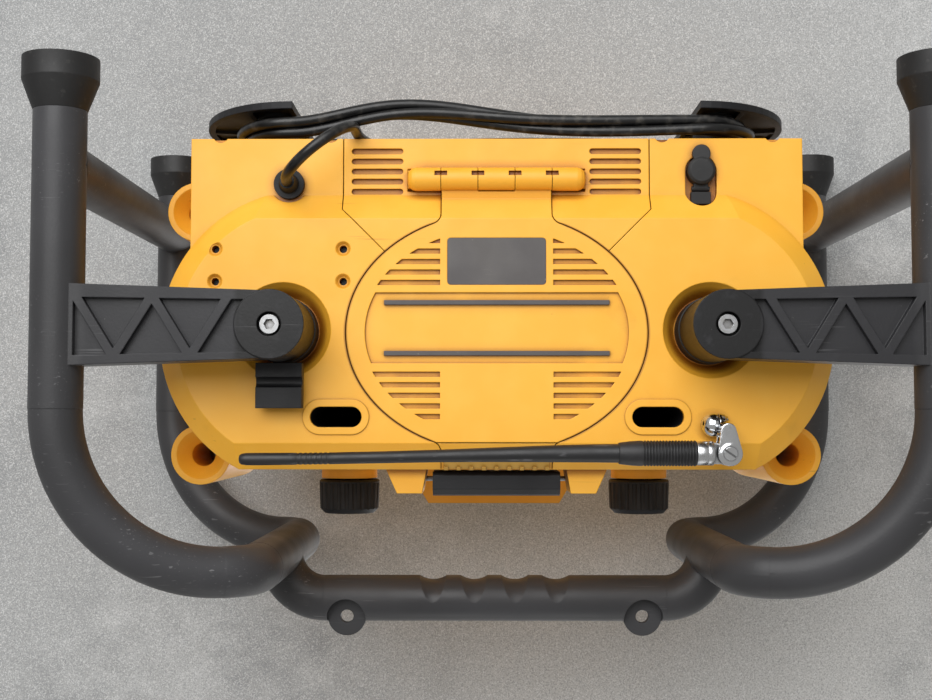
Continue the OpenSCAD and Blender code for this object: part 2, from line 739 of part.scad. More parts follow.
module main_board() color("darkgreen") {
    ybox(-52, 52, -post_y, board_t - post_y, key_z - 36, key_z + 28);
    ybox(-40, 40, board_t - post_y, 12 - post_y, key_z - 34, key_z - 28);
    for (k = [-1.5 : 1.5]) ycyl(2, key_back_y + key_travel + 0.2, -post_y, k * key_pitch, key_z);
}
module tuner_can() color(steel) ybox(-22, 22, board_t - post_y, 10 - post_y, key_z - 24, key_z + 6);

module port_tubes() color(black) left_right() difference() {
    along_y(part_y + 5, back_y - wall) port_2d(1.5);
    along_y(part_y, back_y + over) port_2d(0);
}

// ================================================================ speakers, drawn outwards from the casing
module outward(side) front_half() mirror([side < 0 ? 1 : 0, 0, 0]) translate([hub_x, 0, hub_z]) children();
module turned(points) rotate([-90, 0, 0]) rotate_extrude() polygon(points);
flange_r = speaker_r + 2;
cup_r = magnet_d / 2 - 1.2;
cup_y = 52;
magnet_t = 18;
dome_r = 13;
module speaker_basket(side) color("dimgray") outward(side) difference() {
    union() {
        turned([[speaker_r - 4, panel_y - 5], [flange_r, panel_y - 5], [flange_r, panel_y - 2],
            [speaker_r - 3, panel_y - 2]]);
        turned([[cup_r - 1.8, cup_y], [cup_r, cup_y], [speaker_r - 2.2, panel_y - 5],
            [speaker_r - 4, panel_y - 5]]);
        ycyl(cup_r, cup_y - 4, cup_y);
        ycyl(magnet_d / 2, cup_y - 4 - magnet_t, cup_y - 4);
    }
    for (k = [0 : 5]) rotate([0, k * 60, 0]) ycyl(8, cup_y, panel_y, (cup_r + speaker_r) / 2, 0);
}
module speaker_cone(side) color("black") outward(side) {
    rim = speaker_r - 5;
    neck_y = cup_y + 10;
    turned([[dome_r, neck_y], [dome_r, neck_y - 1.4], [rim - 5, panel_y - 6.4], [rim, panel_y - 3.6],
        [rim, panel_y - 2.4], [rim - 5, panel_y - 5]]);
    turned([[0, neck_y + 3], [dome_r - 7, neck_y + 2], [dome_r - 2, neck_y - 0.4],
        [dome_r, neck_y - 1.4], [dome_r, neck_y], [dome_r - 2, neck_y + 1], [dome_r - 7, neck_y + 3.4],
        [0, neck_y + 4.4]]);
}
module speaker_guard(side) color(black) outward(side) {
    hub_r = recess_d / 2 + 1;
    difference() {
        union() {
            turned([[speaker_r - 4, front_y - 6], [speaker_r - slack, front_y - 6],
                [speaker_r - slack, front_y], [speaker_r + guard_lip, front_y],
                [speaker_r + guard_lip, front_y + 1.5],
                [speaker_r, front_y + 3], [speaker_r - 4, front_y + 3]]);
            turned([[speaker_r * 0.7, front_y - 6], [speaker_r * 0.7 + 3, front_y - 6],
                [speaker_r * 0.7 + 3, front_y + 1], [speaker_r * 0.7, front_y + 1]]);
            ycyl(hub_r, seat_y - wall, front_y + 1);
            ycyl(insert_r + wall, insert_y1 - insert_l - 2, seat_y);
            for (k = [0 : spokes - 1]) rotate([0, k * 360 / spokes, 0])
                ybox(seat_d / 2 + 2, speaker_r - 2, front_y - 6, front_y + 1.5, -spoke_w / 2, spoke_w / 2);
        }
        ycone(seat_d / 2, recess_d / 2, seat_y, front_y + 1 + over);
        ycyl(bore_d / 2, insert_y1, seat_y + over);
        ycyl(insert_r, insert_y1 - insert_l, insert_y1);
    }
}
module speaker_meshes() color("dimgray") for (side = [-1, 1]) outward(side) difference() {
    ycyl(speaker_r - 4, front_y - 7, front_y - 6);
    ycyl(recess_d / 2 + 1, front_y - 8, front_y);
}

// ================================================================ display, keys and knobs
module display_bezel() color(black) difference() {
    translate([0, 0, window_z]) along_y(-front_y - 2.5, -front_y) round_rect(window_w + 14, window_h + 14, 6);
    ybox(-window_w / 2, window_w / 2, -front_y - 3, over - front_y, window_z - window_h / 2,
        window_z + window_h / 2);
}
module display_window() color("lightgray") ybox(-window_w / 2, window_w / 2, -front_y - 1.8, -front_y,
    window_z - window_h / 2, window_z + window_h / 2);
module display_module() color("olive") {
    ybox(1 - window_w / 2, window_w / 2 - 1, -front_y, -panel_y, window_z - window_h / 2 + 1,
        window_z + window_h / 2 - 1);
    ybox(-window_w / 2 - 6, window_w / 2 + 6, -panel_y, board_t - panel_y, window_z - window_h / 2 - 2,
        window_z + window_h / 2 + 2);
}

// A key in its guide: a cap that stands proud and a flange that stops it behind the panel.
module key(k) color(black) translate([(k - 1.5) * key_pitch, 0, key_z]) {
    along_y(-front_y - 2.5, 0.5 - panel_y) round_rect(key_w, key_h, 1.8);
    along_y(0.5 - panel_y, key_back_y) square([key_w + 1.6, key_h + 3], center = true);
}

module pot(side) color(steel) mirror([side < 0 ? 1 : 0, 0, 0]) translate([knob_x, knob_y, 0]) difference() {
    union() {
        translate([0, 0, body_z1 - wall - 15]) cylinder(r = 10, h = 15);
        translate([0, 0, body_z1 - wall]) cylinder(r = bush_r, h = collar_z - body_z1 + wall);
    }
    translate([0, 0, body_z1 - wall - 10]) cylinder(r = shaft_r + 0.05, h = 60);
}
module knob(side) color(black) mirror([side < 0 ? 1 : 0, 0, 0]) translate([knob_x, knob_y, 0]) {
    grip = knob_d / 2;
    difference() {
        translate([0, 0, knob_z0]) rotate_extrude() polygon([[0, 0], [grip - 0.8, 0], [grip, 1],
            [grip - 0.6, knob_h - 3], [grip - 3.5, knob_h], [grip - 7, knob_h], [grip - 8, knob_h - 1],
            [0, knob_h - 1]]);
        translate([0, 0, knob_z0 - over]) difference() {
            cylinder(r = grip - 4, h = knob_h - 5);
            cylinder(r = 6, h = knob_h);
        }
        for (k = [0 : flutes - 1]) rotate([0, 0, k * 360 / flutes]) translate([grip + 0.6, 0, knob_z0 + 2])
            cylinder(r = 1.7, h = knob_h);
        translate([-0.8, 4, knob_z0 + knob_h - 2]) cube([1.6, grip - 13, 3]);
    }
    translate([0, 0, body_z1 - wall - 9.5]) cylinder(r = shaft_r, h = knob_z0 - body_z1 + wall + 10);
}

// ================================================================ fastenings
module corner_screws() color(steel) left_right() for (p = lugs) {
    ycyl(5, lug_screw_y, lug_screw_y + 3.5, p[0], p[1]);
    ycyl(lug_screw_r, lug_screw_y - 15, lug_screw_y, p[0], p[1]);
}
module case_screws() color(steel) for (p = seam_screws) {
    ycyl(screw_head_r, back_y - screw_sink, back_y - screw_sink + 1.6, p[0], p[1]);
    ycyl(screw_r, back_y - screw_sink - 7, back_y - screw_sink, p[0], p[1]);
}
module pivot_pins() color(steel) {
    xcyl(pin_d / 2, -barrel_l / 2 + 3, barrel_l / 2 - 3, hinge_y, hinge_z);
    xcyl(latch_pin_r, -latch_x - 8.8, latch_x + 8.8, latch_axis_y, latch_axis_z);
}

// ================================================================ battery door
badge_w = 146;
badge_h = 39;
badge_z = door_z - 2.3;
badge_sink = 1.2;
bar_l = 124;
bar_t = 2.5;
bar_z = 14;
label_w = 54.4;
label_h = 26;
label_z = 102.9;
badge_in = 10.4;
louvre_in = 9;
module badge_2d() intersection() {
    square([badge_w, badge_h], center = true);
    translate([0, door_z - badge_z]) polygon(oval(door_rx - badge_in, door_rz - badge_in));
}
// Louvres are cut short by an oval that runs beside the door's edge.
module louvres_2d() intersection() {
    translate([0, door_z]) polygon(oval(door_rx - louvre_in, door_rz - louvre_in));
    for (side = [-1, 1], half = [-1, 1], k = [0 : 4]) translate([side * (louvre_w0 + 30), badge_z + 0.3
        + half * (badge_h / 2 + 5.8 + k * louvre_pitch)]) square([60, louvre_h], center = true);
}
louvre_w0 = 31.2;
ramp_z = body_z0 + bevel_z;
module neck_profile() polygon([[back_y, ramp_z + 12], [back_y, ramp_z],
    [hinge_y + 0.5, hinge_z + barrel_d / 2 + 4.4], [hinge_y + 1.5, hinge_z + barrel_d / 2 - 1],
    [hinge_y, hinge_z + pin_d], [hinge_y - 3, hinge_z + pin_d], [hinge_y - 3.2, hinge_z + barrel_d / 2 + 2],
    [back_y - door_t - 0.2, ramp_z + 1.5], [back_y - door_t, ramp_z + 12]]);

module battery_door() color(safety) difference() {
    union() {
        difference() {
            intersection() {
                along_y(block_y + slack, back_y) door_outline(0);
                body_form(0, part_y);
                ybox(-big, big, 0, big, body_z0 + 6, ledge_z - gap);
            }
            body_form(door_t, part_y - over);
        }
        difference() {
            along_x(-neck_w / 2, neck_w / 2) neck_profile();
            fixed_knuckles(barrel_d / 2 + slack + 0.2);
        }
        for (s = [-1, 1]) knuckle(s, barrel_d / 2);
    }
    hinge_cut(pin_d / 2 + 0.05);
    hinge_windows();
    along_y(back_y - louvre_d, back_y + over) louvres_2d();
    translate([0, 0, badge_z]) along_y(back_y - badge_sink, back_y + over) badge_2d();
    translate([0, 0, label_z]) along_y(back_y - 0.6, back_y + over) round_rect(label_w, label_h, 2);
}
module door_badge() color("dimgray") translate([0, 0, badge_z]) for (s = [-1, 1])
    ybox(-bar_l / 2, bar_l / 2, back_y - badge_sink, back_y + 0.5, s * bar_z - bar_t / 2,
        s * bar_z + bar_t / 2);
module door_label() color("dimgray") translate([0, 0, label_z]) along_y(back_y - 0.6, back_y + 0.1)
    round_rect(label_w, label_h, 2);

module door_latch() color(black) difference() {
    y1 = latch_y1;
    union() {
        xcyl(5, -latch_x, latch_x, latch_axis_y, latch_axis_z);
        along_x(-latch_x, latch_x) polygon([[latch_axis_y, latch_z0], [y1 - 2, latch_z0], [y1, latch_z0 + 2],
            [y1, latch_z1 - 4], [y1 - 4, latch_z1 - 1], [y1 - 8, latch_z1], [latch_axis_y + 6, latch_z1],
            [latch_axis_y, latch_z0 + 10]]);
    }
    xcyl(latch_pin_r + 0.05, -latch_x - over, latch_x + over, latch_axis_y, latch_axis_z);
    for (k = [0 : 3]) xcyl(1, -latch_x + 5, latch_x - 5, y1 - 12 - k * 4, latch_z1 + 0.3);
}

// ================================================================ aerial
module aerial_socket() color(steel) {
    ycyl(4, back_y - 12, back_y + 1, ball_x, ball_z);
    ycyl(3.5, back_y, ball_y, ball_x - 1.8, ball_z);
    ycyl(5.5, back_y, back_y + 1.2, ball_x, ball_z);
    ycyl(7, back_y - wall - 4, back_y - wall, ball_x, ball_z);
    translate([ball_x, ball_y, ball_z]) rotate([0, 90, 0]) rotate_extrude() intersection() {
        circle(d = ball_d);
        translate([0, -ball_d]) square([ball_d, ball_d + cap_x - slack - ball_x]);
    }
}
module aerial_elbow() color(steel) {
    reach = cheek_t + tongue_t / 2 + slack;
    link_z = aerial_z - fork_r - slack - 0.4;
    translate([cap_x, ball_y, ball_z]) rotate([0, 90, 0]) rotate_extrude() polygon([[0, 0], [ball_d / 2, 0],
        [ball_d / 2, 2], [ball_d / 2 - 0.8, 3.6], [ball_d / 2 - 2.6, 4.9], [0, 5.2]]);
    ybox(cap_x, aerial_x + fork_r, aerial_y - reach, aerial_y + reach - 1, ball_z, link_z);
    ybox(cap_x, cap_x + 5, ball_y, aerial_y, ball_z - 3, ball_z + 5);
    for (s = [-1, 1]) translate([0, aerial_y + s * (reach - cheek_t / 2), 0]) {
        ycyl(fork_r, -cheek_t / 2, cheek_t / 2, aerial_x, aerial_z);
        ybox(aerial_x - 4, aerial_x + fork_r, -cheek_t / 2, cheek_t / 2, link_z - 4, aerial_z);
    }
    ycyl(2, aerial_y - reach, aerial_y + reach + 1, aerial_x, aerial_z);
}
module aerial_whip() color(black) translate([0, aerial_y, aerial_z]) {
    ferrule_x = aerial_x - 8;
    boot_x = ferrule_x - 9;
    rod_x = boot_x - boot_l;
    step_x = aerial_x - whip_l * 0.7;
    difference() {
        union() {
            ycyl(fork_r - 0.8, -tongue_t / 2, tongue_t / 2, aerial_x, 0);
            ybox(ferrule_x - 1, aerial_x, -tongue_t / 2, tongue_t / 2, 0.8 - fork_r, fork_r - 0.8);
        }
        ycyl(2.05, -tongue_t, tongue_t, aerial_x, 0);
    }
    xcyl(fork_r - 0.4, boot_x, ferrule_x);
    translate([boot_x, 0, 0]) rotate([0, -90, 0]) rotate_extrude() polygon(concat([[0, 0]],
        [for (k = [0 : 12]) each [[boot_d / 2, k * 2.4], [boot_d / 2 - 0.6, k * 2.4 + 1.2]]],
        [[boot_d / 2 - 0.2, 31.5], [whip_root_d / 2 + 0.6, boot_l], [0, boot_l]]));
    translate([rod_x, 0, 0]) rotate([0, -90, 0])
        cylinder(r1 = whip_root_d / 2, r2 = whip_tip_d / 2 + 1, h = rod_x - step_x);
    xcyl(whip_tip_d / 2, aerial_x - whip_l, step_x);
}
// Snap clip above the left hub that parks the folded aerial.
clip_x = -hub_x;
clip_y = aerial_y - 4;
clip_z = hub_z + hub_d / 2;
module aerial_clip() color(black) difference() {
    union() {
        ybox(clip_x - 12.5, clip_x + 12.5, clip_y - 8, clip_y, clip_z + 0.5, clip_z + 25);
        ybox(clip_x - 9, clip_x + 9, back_y, clip_y - 8, clip_z + 12, clip_z + 22);
    }
    xcyl(2.75, clip_x - 20, clip_x + 20, clip_y, clip_z + 11);
}

// ================================================================ aux input
cover_axis_y = block_y - 1;
cover_axis_z = aux_z + aux_cap_r + 2;
module aux_jack() color("dimgray") {
    difference() {
        ycyl(4.5, pill_y - 18, pill_y, aux_x, aux_z);
        ycyl(1.8, pill_y - 16, pill_y + over, aux_x, aux_z);
    }
    ybox(aux_x - 5.5, aux_x + 5.5, pill_y, pill_y + aux_t, cover_axis_z + 1.9, aux_anchor_z);
}
module aux_cover() color(black) {
    ycyl(aux_cap_r, pill_y + slack, pill_y + aux_t + 3, aux_x, aux_z);
    ycone(aux_cap_r, aux_cap_r - 1.5, pill_y + aux_t + 3, pill_y + aux_t + 4, aux_x, aux_z);
    along_y(block_y + slack, pill_y + aux_t + 3) translate([aux_x, aux_z - 9.5]) round_rect(10, 10, 4.8);
    ybox(aux_x - 4, aux_x + 4, pill_y + slack, pill_y + aux_t, aux_z, cover_axis_z);
    xcyl(1.5, aux_x - 5, aux_x + 5, cover_axis_y - 0.6, cover_axis_z);
}

// ================================================================ mains cord and its hooks
gland_y1 = back_y + 1;
module cord_gland() color(black) {
    ycyl(gland_d / 2 - 2.6, block_y - 16, block_y, -gland_x, gland_z);
    ycyl(gland_d / 2, block_y, block_y + 3.5, -gland_x, gland_z);
    ycone(5.6, cord_d / 2 + 1, block_y + 3.5, gland_y1, -gland_x, gland_z);
    ycyl(gland_d / 2, block_y - wall - 3, block_y - wall, -gland_x, gland_z);
}

stem_x = hook_x + 12;
stem_y = 55;
post_x = hook_x + 10;
post_in_y = hook_y - 65;
post_r = 9;
function half_oval(rx, ry, x0, n = 32) = concat([[x0, -ry * sqrt(1 - pow(x0 / rx, 2))]],
    [for (k = [1 : n - 1]) let (a = -90 + 180 * k / n, x = rx * cos(a)) if (x > x0) [x, ry * sin(a)]],
    [[x0, ry * sqrt(1 - pow(x0 / rx, 2))]]);
module cord_hook() color(black) {
    difference() {
        translate([hook_x, hook_y, hook_z - hook_t]) linear_extrude(hook_t)
            polygon(half_oval(hook_rx, hook_ry, 0));
        translate([hook_x, hook_y, hook_z - hook_t / 2]) linear_extrude(hook_t) difference() {
            polygon(half_oval(hook_rx - 4, hook_ry - 4, 3));
            translate([stem_x - hook_x, stem_y - hook_y]) circle(stem_r + 2);
            translate([post_x - hook_x, post_in_y - hook_y]) circle(post_r + 2);
            for (a = [-62, -38, -12, 12]) rotate(a) translate([0, -1.5]) square([90, 3]);
            translate([hook_rx * 0.4, -hook_ry]) square([3, 2 * hook_ry]);
        }
    }
    translate([stem_x, stem_y, hook_z - hook_t]) cylinder(r = stem_r, h = block_z0 - hook_z + hook_t);
    translate([post_x, post_in_y, hook_z - hook_t]) cylinder(r = post_r, h = block_z0 - hook_z + hook_t);
}

// The cord leaves its gland, turns under the casing and is wound round the hooks as a twisted bundle.
wind_x = 115;
wind_r = 30;
lay_r = 3.5;
lay_z = block_z0 - lay_r - cord_d / 2 - 1.1;
lay_dip = 9;
straight_l = 2 * wind_x;
arc_l = PI * wind_r;
turn_l = 2 * (straight_l + arc_l);
turn_twist = 480;
wind_start = 90;
wind_end = 2 * turn_l + 2 * straight_l + 1.5 * arc_l;
under_x = -78.5;
under_z = block_z0 - cord_d / 2 - 0.3;
arch_y = 101;
arch_from = [-gland_x, arch_y, gland_z];
arch_to = [under_x, arch_y, under_z];
arch_r = norm(arch_to - arch_from) / 2;
cord_arch = [for (a = [0 : 22.5 : 180]) (arch_from + arch_to) / 2
    - cos(a) / 2 * (arch_to - arch_from) + [0, arch_r * sin(a), 0]];
cord_head = concat([[-gland_x, arch_y - 2, gland_z]], cord_arch, [[-78.4, 88, under_z],
    [-77.6, 76, under_z], [-74.9, 64, under_z], [-70.2, 52.8, under_z], [-63.4, 43, under_z],
    [-54.8, 35, under_z], [-44.8, 29.4, under_z], [-34, 26, under_z - 0.4]]);
cord_tail = [[-148.3, 45, 24.5], [-146.3, 35, 23.7], [-142.6, 26, 22.6], [-139.5, 18, 21.7],
    [-138, 11, 21.4], [-138, 8, 21.4]];

// Middle of the bundle at a distance s along a lap: front straight, right turn, rear straight, left turn.
function turn_at(s, from) = from + s / wind_r * 180 / PI;
function round_post(x, a) = [x + wind_r * cos(a), stem_y + wind_r * sin(a), lay_z];
function wind_centre(s) = s < straight_l ? [s - wind_x, stem_y - wind_r, lay_z]
    : s < straight_l + arc_l ? round_post(wind_x, turn_at(s - straight_l, -90))
    : s < 2 * straight_l + arc_l ? let (t = (s - straight_l - arc_l) / straight_l)
        [wind_x - t * straight_l, stem_y + wind_r, lay_z - lay_dip * pow(sin(180 * t * t), 2)]
    : round_post(-wind_x, turn_at(s - 2 * straight_l - arc_l, 90));
function wind_out(s) = s < straight_l ? [0, -1, 0]
    : s < straight_l + arc_l ? let (a = turn_at(s - straight_l, -90)) [cos(a), sin(a), 0]
    : s < 2 * straight_l + arc_l ? [0, 1, 0]
    : let (a = turn_at(s - 2 * straight_l - arc_l, 90)) [cos(a), sin(a), 0];
function strand(s) = let (u = s % turn_l, twist = turn_twist * (s - wind_end) / turn_l)
    wind_centre(u) + lay_r * (cos(twist) * wind_out(u) + sin(twist) * [0, 0, 1]);

// Stations along the winding, with straight_steps to each straight and arc_steps to each half turn.
straight_steps = 5;
arc_steps = 6;
function steps(from, length, n) = [for (i = [0 : n - 1]) from + i * length / n];
function lap(k) = let (s = k * turn_l) concat(steps(s, straight_l, straight_steps),
    steps(s + straight_l, arc_l, arc_steps), steps(s + straight_l + arc_l, straight_l, straight_steps),
    steps(s + 2 * straight_l + arc_l, arc_l, arc_steps));
stations = [for (k = [0 : 2], s = lap(k)) if (s >= wind_start && s <= wind_end + 0.01) s];
cord_points = concat(cord_head, [for (s = stations) strand(s)], cord_tail);

function unit(v) = v / norm(v);
function heading(p, i) = i == 0 ? unit(p[1] - p[0]) : i == len(p) - 1 ? unit(p[i] - p[i - 1])
    : unit(unit(p[i + 1] - p[i]) + unit(p[i] - p[i - 1]));
module tube_along(p, r, sides) {
    rings = [for (i = [0 : len(p) - 1])
        let (t = heading(p, i), u = unit(cross(t, [0, 0, 1])), v = cross(u, t))
        each [for (k = [0 : sides - 1]) p[i] + r * (cos(360 * k / sides) * u + sin(360 * k / sides) * v)]];
    polyhedron(rings, concat([[for (k = [0 : sides - 1]) k]],
        [for (i = [0 : len(p) - 2], k = [0 : sides - 1]) let (a = i * sides, n = (k + 1) % sides)
            [a + n, a + k, a + sides + k, a + sides + n]],
        [[for (k = [sides - 1 : -1 : 0]) (len(p) - 1) * sides + k]]));
}
module power_cord() color(black) tube_along(cord_points, cord_d / 2, 8);

plug_x = -138;
plug_y = 8;
plug_z = 21.4;
module mains_plug() color(black) translate([plug_x, plug_y, plug_z]) {
    ycone(5.5, cord_d / 2 + 0.6, -14, 0);
    translate([0, -13, 0]) rotate([90, 0, 0]) linear_extrude(20) round_rect(32, 12.4, 5);
    for (s = [-1, 1]) ycyl(2, -52, -33, s * 9.3, 0);
}

// ================================================================ sides
module frame_rear_left() mirror([1, 0, 0]) frame_quarter();
module frame_rear_right() frame_quarter();
module frame_front_left() front_half() mirror([1, 0, 0]) frame_quarter();
module frame_front_right() front_half() frame_quarter();

frame_rear_left();
frame_rear_right();
frame_front_left();
frame_front_right();
mirror([1, 0, 0]) side_bar();  // side_bar_left
side_bar();  // side_bar_right
carry_handle();
rubber_feet();
isolators();
isolator_sleeves();
cage_bolts();
bolt_inserts();
rear_casing();
hinge_panel();
latch_keeper();
front_casing();
front_panel();
battery_tray();
battery_contacts();
charger_board();
transformer();
main_board();
tuner_can();
port_tubes();
speaker_basket(-1);  // speaker_basket_left
speaker_basket(1);  // speaker_basket_right
speaker_cone(-1);  // speaker_cone_left
speaker_cone(1);  // speaker_cone_right
speaker_guard(-1);  // speaker_guard_left
speaker_guard(1);  // speaker_guard_right
speaker_meshes();
display_bezel();
display_window();
display_module();
pot(-1);  // volume_pot
pot(1);  // tuning_encoder
knob(-1);  // volume_knob
knob(1);  // tuning_knob
key(0);  // power_key
key(1);  // mode_key
key(2);  // seek_down_key
key(3);  // seek_up_key
corner_screws();
case_screws();
pivot_pins();
battery_door();
door_badge();
door_label();
door_latch();
aerial_socket();
aerial_elbow();
aerial_whip();
aerial_clip();
aux_jack();
aux_cover();
cord_gland();
power_cord();
mains_plug();
mirror([1, 0, 0]) cord_hook();  // cord_hook_left
cord_hook();  // cord_hook_right
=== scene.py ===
"""Jobsite radio: finishes, cord, light and camera. Metres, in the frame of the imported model.

The radio stands on z = 0 with its back towards +Y. The camera looks at that back from +Y with -Z up,
because the radio lies on its front with its feet towards the top of the picture.
"""
import math

import bmesh
import bpy
from mathutils import Matrix, Vector


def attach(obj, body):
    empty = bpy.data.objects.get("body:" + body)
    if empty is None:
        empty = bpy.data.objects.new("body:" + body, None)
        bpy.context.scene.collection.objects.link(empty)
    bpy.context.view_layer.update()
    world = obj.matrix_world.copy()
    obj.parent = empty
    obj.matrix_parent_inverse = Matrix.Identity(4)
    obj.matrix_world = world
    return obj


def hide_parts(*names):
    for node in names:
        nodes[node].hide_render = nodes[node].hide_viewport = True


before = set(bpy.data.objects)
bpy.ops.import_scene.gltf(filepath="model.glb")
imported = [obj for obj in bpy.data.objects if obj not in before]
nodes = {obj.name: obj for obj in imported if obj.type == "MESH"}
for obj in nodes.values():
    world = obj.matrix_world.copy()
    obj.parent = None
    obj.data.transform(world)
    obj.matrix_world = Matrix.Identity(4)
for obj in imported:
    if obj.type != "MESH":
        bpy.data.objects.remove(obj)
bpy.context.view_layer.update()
scene = bpy.context.scene
MM = 0.001


# ---------------------------------------------------------------- camera
PHOTO_WIDTH, PHOTO_HEIGHT = 932, 700
FOCAL_PX = 1292
SENSOR = 36
CAMERA_AT = Vector((-0.0114, 0.807, 0.1887))
SQUARE_ON_X, SQUARE_ON_Y = 476, 417  # the pixel where lines along Y meet
TURN = math.atan((SQUARE_ON_X - PHOTO_WIDTH / 2) / FOCAL_PX)
TILT = math.atan((SQUARE_ON_Y - PHOTO_HEIGHT / 2) / FOCAL_PX)


def make_camera():
    """The view of the back, upside down: right in the picture is +X and down is +Z."""
    ahead = Vector((-math.sin(TURN), -math.cos(TURN) * math.cos(TILT), -math.sin(TILT))).normalized()
    right = Vector((1, 0, 0))
    right = (right - right.dot(ahead) * ahead).normalized()
    down = ahead.cross(right)
    data = bpy.data.cameras.new("camera")
    data.sensor_width = SENSOR
    data.lens = FOCAL_PX / PHOTO_WIDTH * data.sensor_width
    camera = bpy.data.objects.new("camera", data)
    scene.collection.objects.link(camera)
    turn = Matrix((right, -down, -ahead)).transposed()
    camera.matrix_world = Matrix.Translation(CAMERA_AT) @ turn.to_4x4()
    scene.camera = camera


# ---------------------------------------------------------------- finishes
def rgb(code):
    """A linear colour from its hex code."""
    parts = [int(code[i:i + 2], 16) / 255 for i in (1, 3, 5)]
    return [c / 12.92 if c <= 0.04045 else ((c + 0.055) / 1.055) ** 2.4 for c in parts] + [1.0]


class Finish:
    """A material under construction. Each call adds a layer on top of the ones before it."""

    def __init__(self, name, colour, roughness, metallic=0.0, rounding=0.0, shine=0.5):
        self.material = bpy.data.materials.new(name)
        self.material.use_nodes = True
        self.tree = self.material.node_tree
        self.shader = self.tree.nodes["Principled BSDF"]
        self.shader.inputs["Roughness"].default_value = roughness
        self.shader.inputs["Metallic"].default_value = metallic
        self.shader.inputs["Specular IOR Level"].default_value = shine
        self.roughness = roughness
        self.place = self.add("ShaderNodeTexCoord").outputs["Object"]
        self.colour = rgb(colour)
        self.shader.inputs["Base Color"].default_value = self.colour
        self.normal = None
        if rounding:
            edge = self.add("ShaderNodeBevel", Radius=rounding)
            edge.samples = 6
            self.normal = edge.outputs["Normal"]
            self.tree.links.new(self.normal, self.shader.inputs["Normal"])

    def add(self, kind, settings=(), **inputs):
        """A new node. An input is a plain value or another node's output."""
        node = self.tree.nodes.new(kind)
        for key, value in dict(settings).items():
            setattr(node, key, value)
        for key, value in inputs.items():
            self.feed(node.inputs[key.replace("_", " ")], value)
        return node

    def feed(self, socket, value):
        if isinstance(value, bpy.types.NodeSocket):
            self.tree.links.new(value, socket)
        else:
            socket.default_value = value

    def stretched(self, scale, turn=(0, 0, 0)):
        """Places to look a texture up at, turned and then scaled along each axis."""
        node = self.add("ShaderNodeMapping", Vector=self.place, Rotation=turn, Scale=scale)
        return node.outputs["Vector"]

    def noise(self, scale, low, high, place=None, detail=4.0):
        """A mask that rises from 0 to 1 where the noise goes from low to high."""
        source = self.add("ShaderNodeTexNoise", Vector=place or self.place, Scale=scale, Detail=detail)
        return self.ramp(source.outputs["Fac"], low, high)

    def ramp(self, value, low, high):
        node = self.add("ShaderNodeMapRange", Value=value, From_Min=low, From_Max=high)
        return node.outputs["Result"]

    def maths(self, operation, *values):
        node = self.add("ShaderNodeMath", {"operation": operation})
        for socket, value in zip(node.inputs, values):
            self.feed(socket, value)
        return node.outputs[0]

    def times(self, a, b):
        return self.maths("MULTIPLY", a, b)

    def along(self, axis):
        """The coordinate of a place along X, Y or Z."""
        return self.add("ShaderNodeSeparateXYZ", Vector=self.place).outputs[axis]

    def away(self, axis):
        """How far a place is from 0 along X, Y or Z, on either side."""
        return self.maths("ABSOLUTE", self.along(axis))

    def band(self, value, low, high, edge):
        """A mask that is 1 between low and high and falls to 0 over a width of edge beyond them."""
        return self.times(self.ramp(value, low - edge, low), self.ramp(value, high + edge, high))

    def crevice_shade(self, reach):
        """A mask from ambient occlusion that is 1 in corners and grooves, where shade falls, and 0 on open
        faces; what it tints is painted shade.
        """
        node = self.add("ShaderNodeAmbientOcclusion", {"samples": 6}, Distance=reach)
        return self.ramp(node.outputs["AO"], 1.0, 0.35)

    def tint(self, mask, colour, amount=1.0):
        mix = self.add("ShaderNodeMixRGB", Fac=self.times(mask, amount), Color2=rgb(colour))
        self.feed(mix.inputs["Color1"], self.colour)
        self.colour = mix.outputs["Color"]
        self.tree.links.new(self.colour, self.shader.inputs["Base Color"])

    def rough(self, mask, roughness):
        """Roughness goes from what it was to roughness where the mask is 1."""
        node = self.add("ShaderNodeMapRange", Value=mask)
        self.feed(node.inputs["To Min"], self.roughness)
        self.feed(node.inputs["To Max"], roughness)
        self.roughness = node.outputs["Result"]
        self.tree.links.new(self.roughness, self.shader.inputs["Roughness"])

    def bump(self, height, depth, strength=1.0):
        node = self.add("ShaderNodeBump", Height=height, Distance=depth, Strength=strength)
        if self.normal:
            self.tree.links.new(self.normal, node.inputs["Normal"])
        self.normal = node.outputs["Normal"]
        self.tree.links.new(self.normal, self.shader.inputs["Normal"])

    def scratches(self, turn, scale, low=0.69, high=0.72):
        """Thin streaks along one direction, in patches."""
        streaks = self.noise(scale, low, high, self.stretched((1, 34, 34), turn), detail=2.0)
        patches = self.noise(14, 0.48, 0.62, detail=2.0)
        return self.times(streaks, patches)

    def paint(self, *names):
        for name in names:
            for material_slot in nodes[name].material_slots:
                material_slot.material = self.material


DOOR_Z = 0.142
SEAM_RX, SEAM_RZ = 0.0833, 0.0663
SEAM_BAND = (0.996, 1.004, 0.012)  # in parts of the oval's half axes, with the width of the fade
BACK_FADE = (0.08, 0.085)
NECK_FADE = (0.032, 0.038)


def door_seam(finish):
    """A mask along the battery door's oval edge, at the back and clear of the door's neck and ledge."""
    node = finish.add("ShaderNodeMapping", Vector=finish.place, Location=(0, 0, -DOOR_Z / SEAM_RZ),
                      Scale=(1 / SEAM_RX, 0, 1 / SEAM_RZ))
    size = finish.add("ShaderNodeVectorMath", {"operation": "LENGTH"})
    finish.feed(size.inputs[0], node.outputs["Vector"])
    ring = finish.band(size.outputs["Value"], *SEAM_BAND)
    at_back = finish.ramp(finish.along("Y"), *BACK_FADE)
    return finish.times(finish.times(ring, at_back), finish.ramp(finish.away("X"), *NECK_FADE))


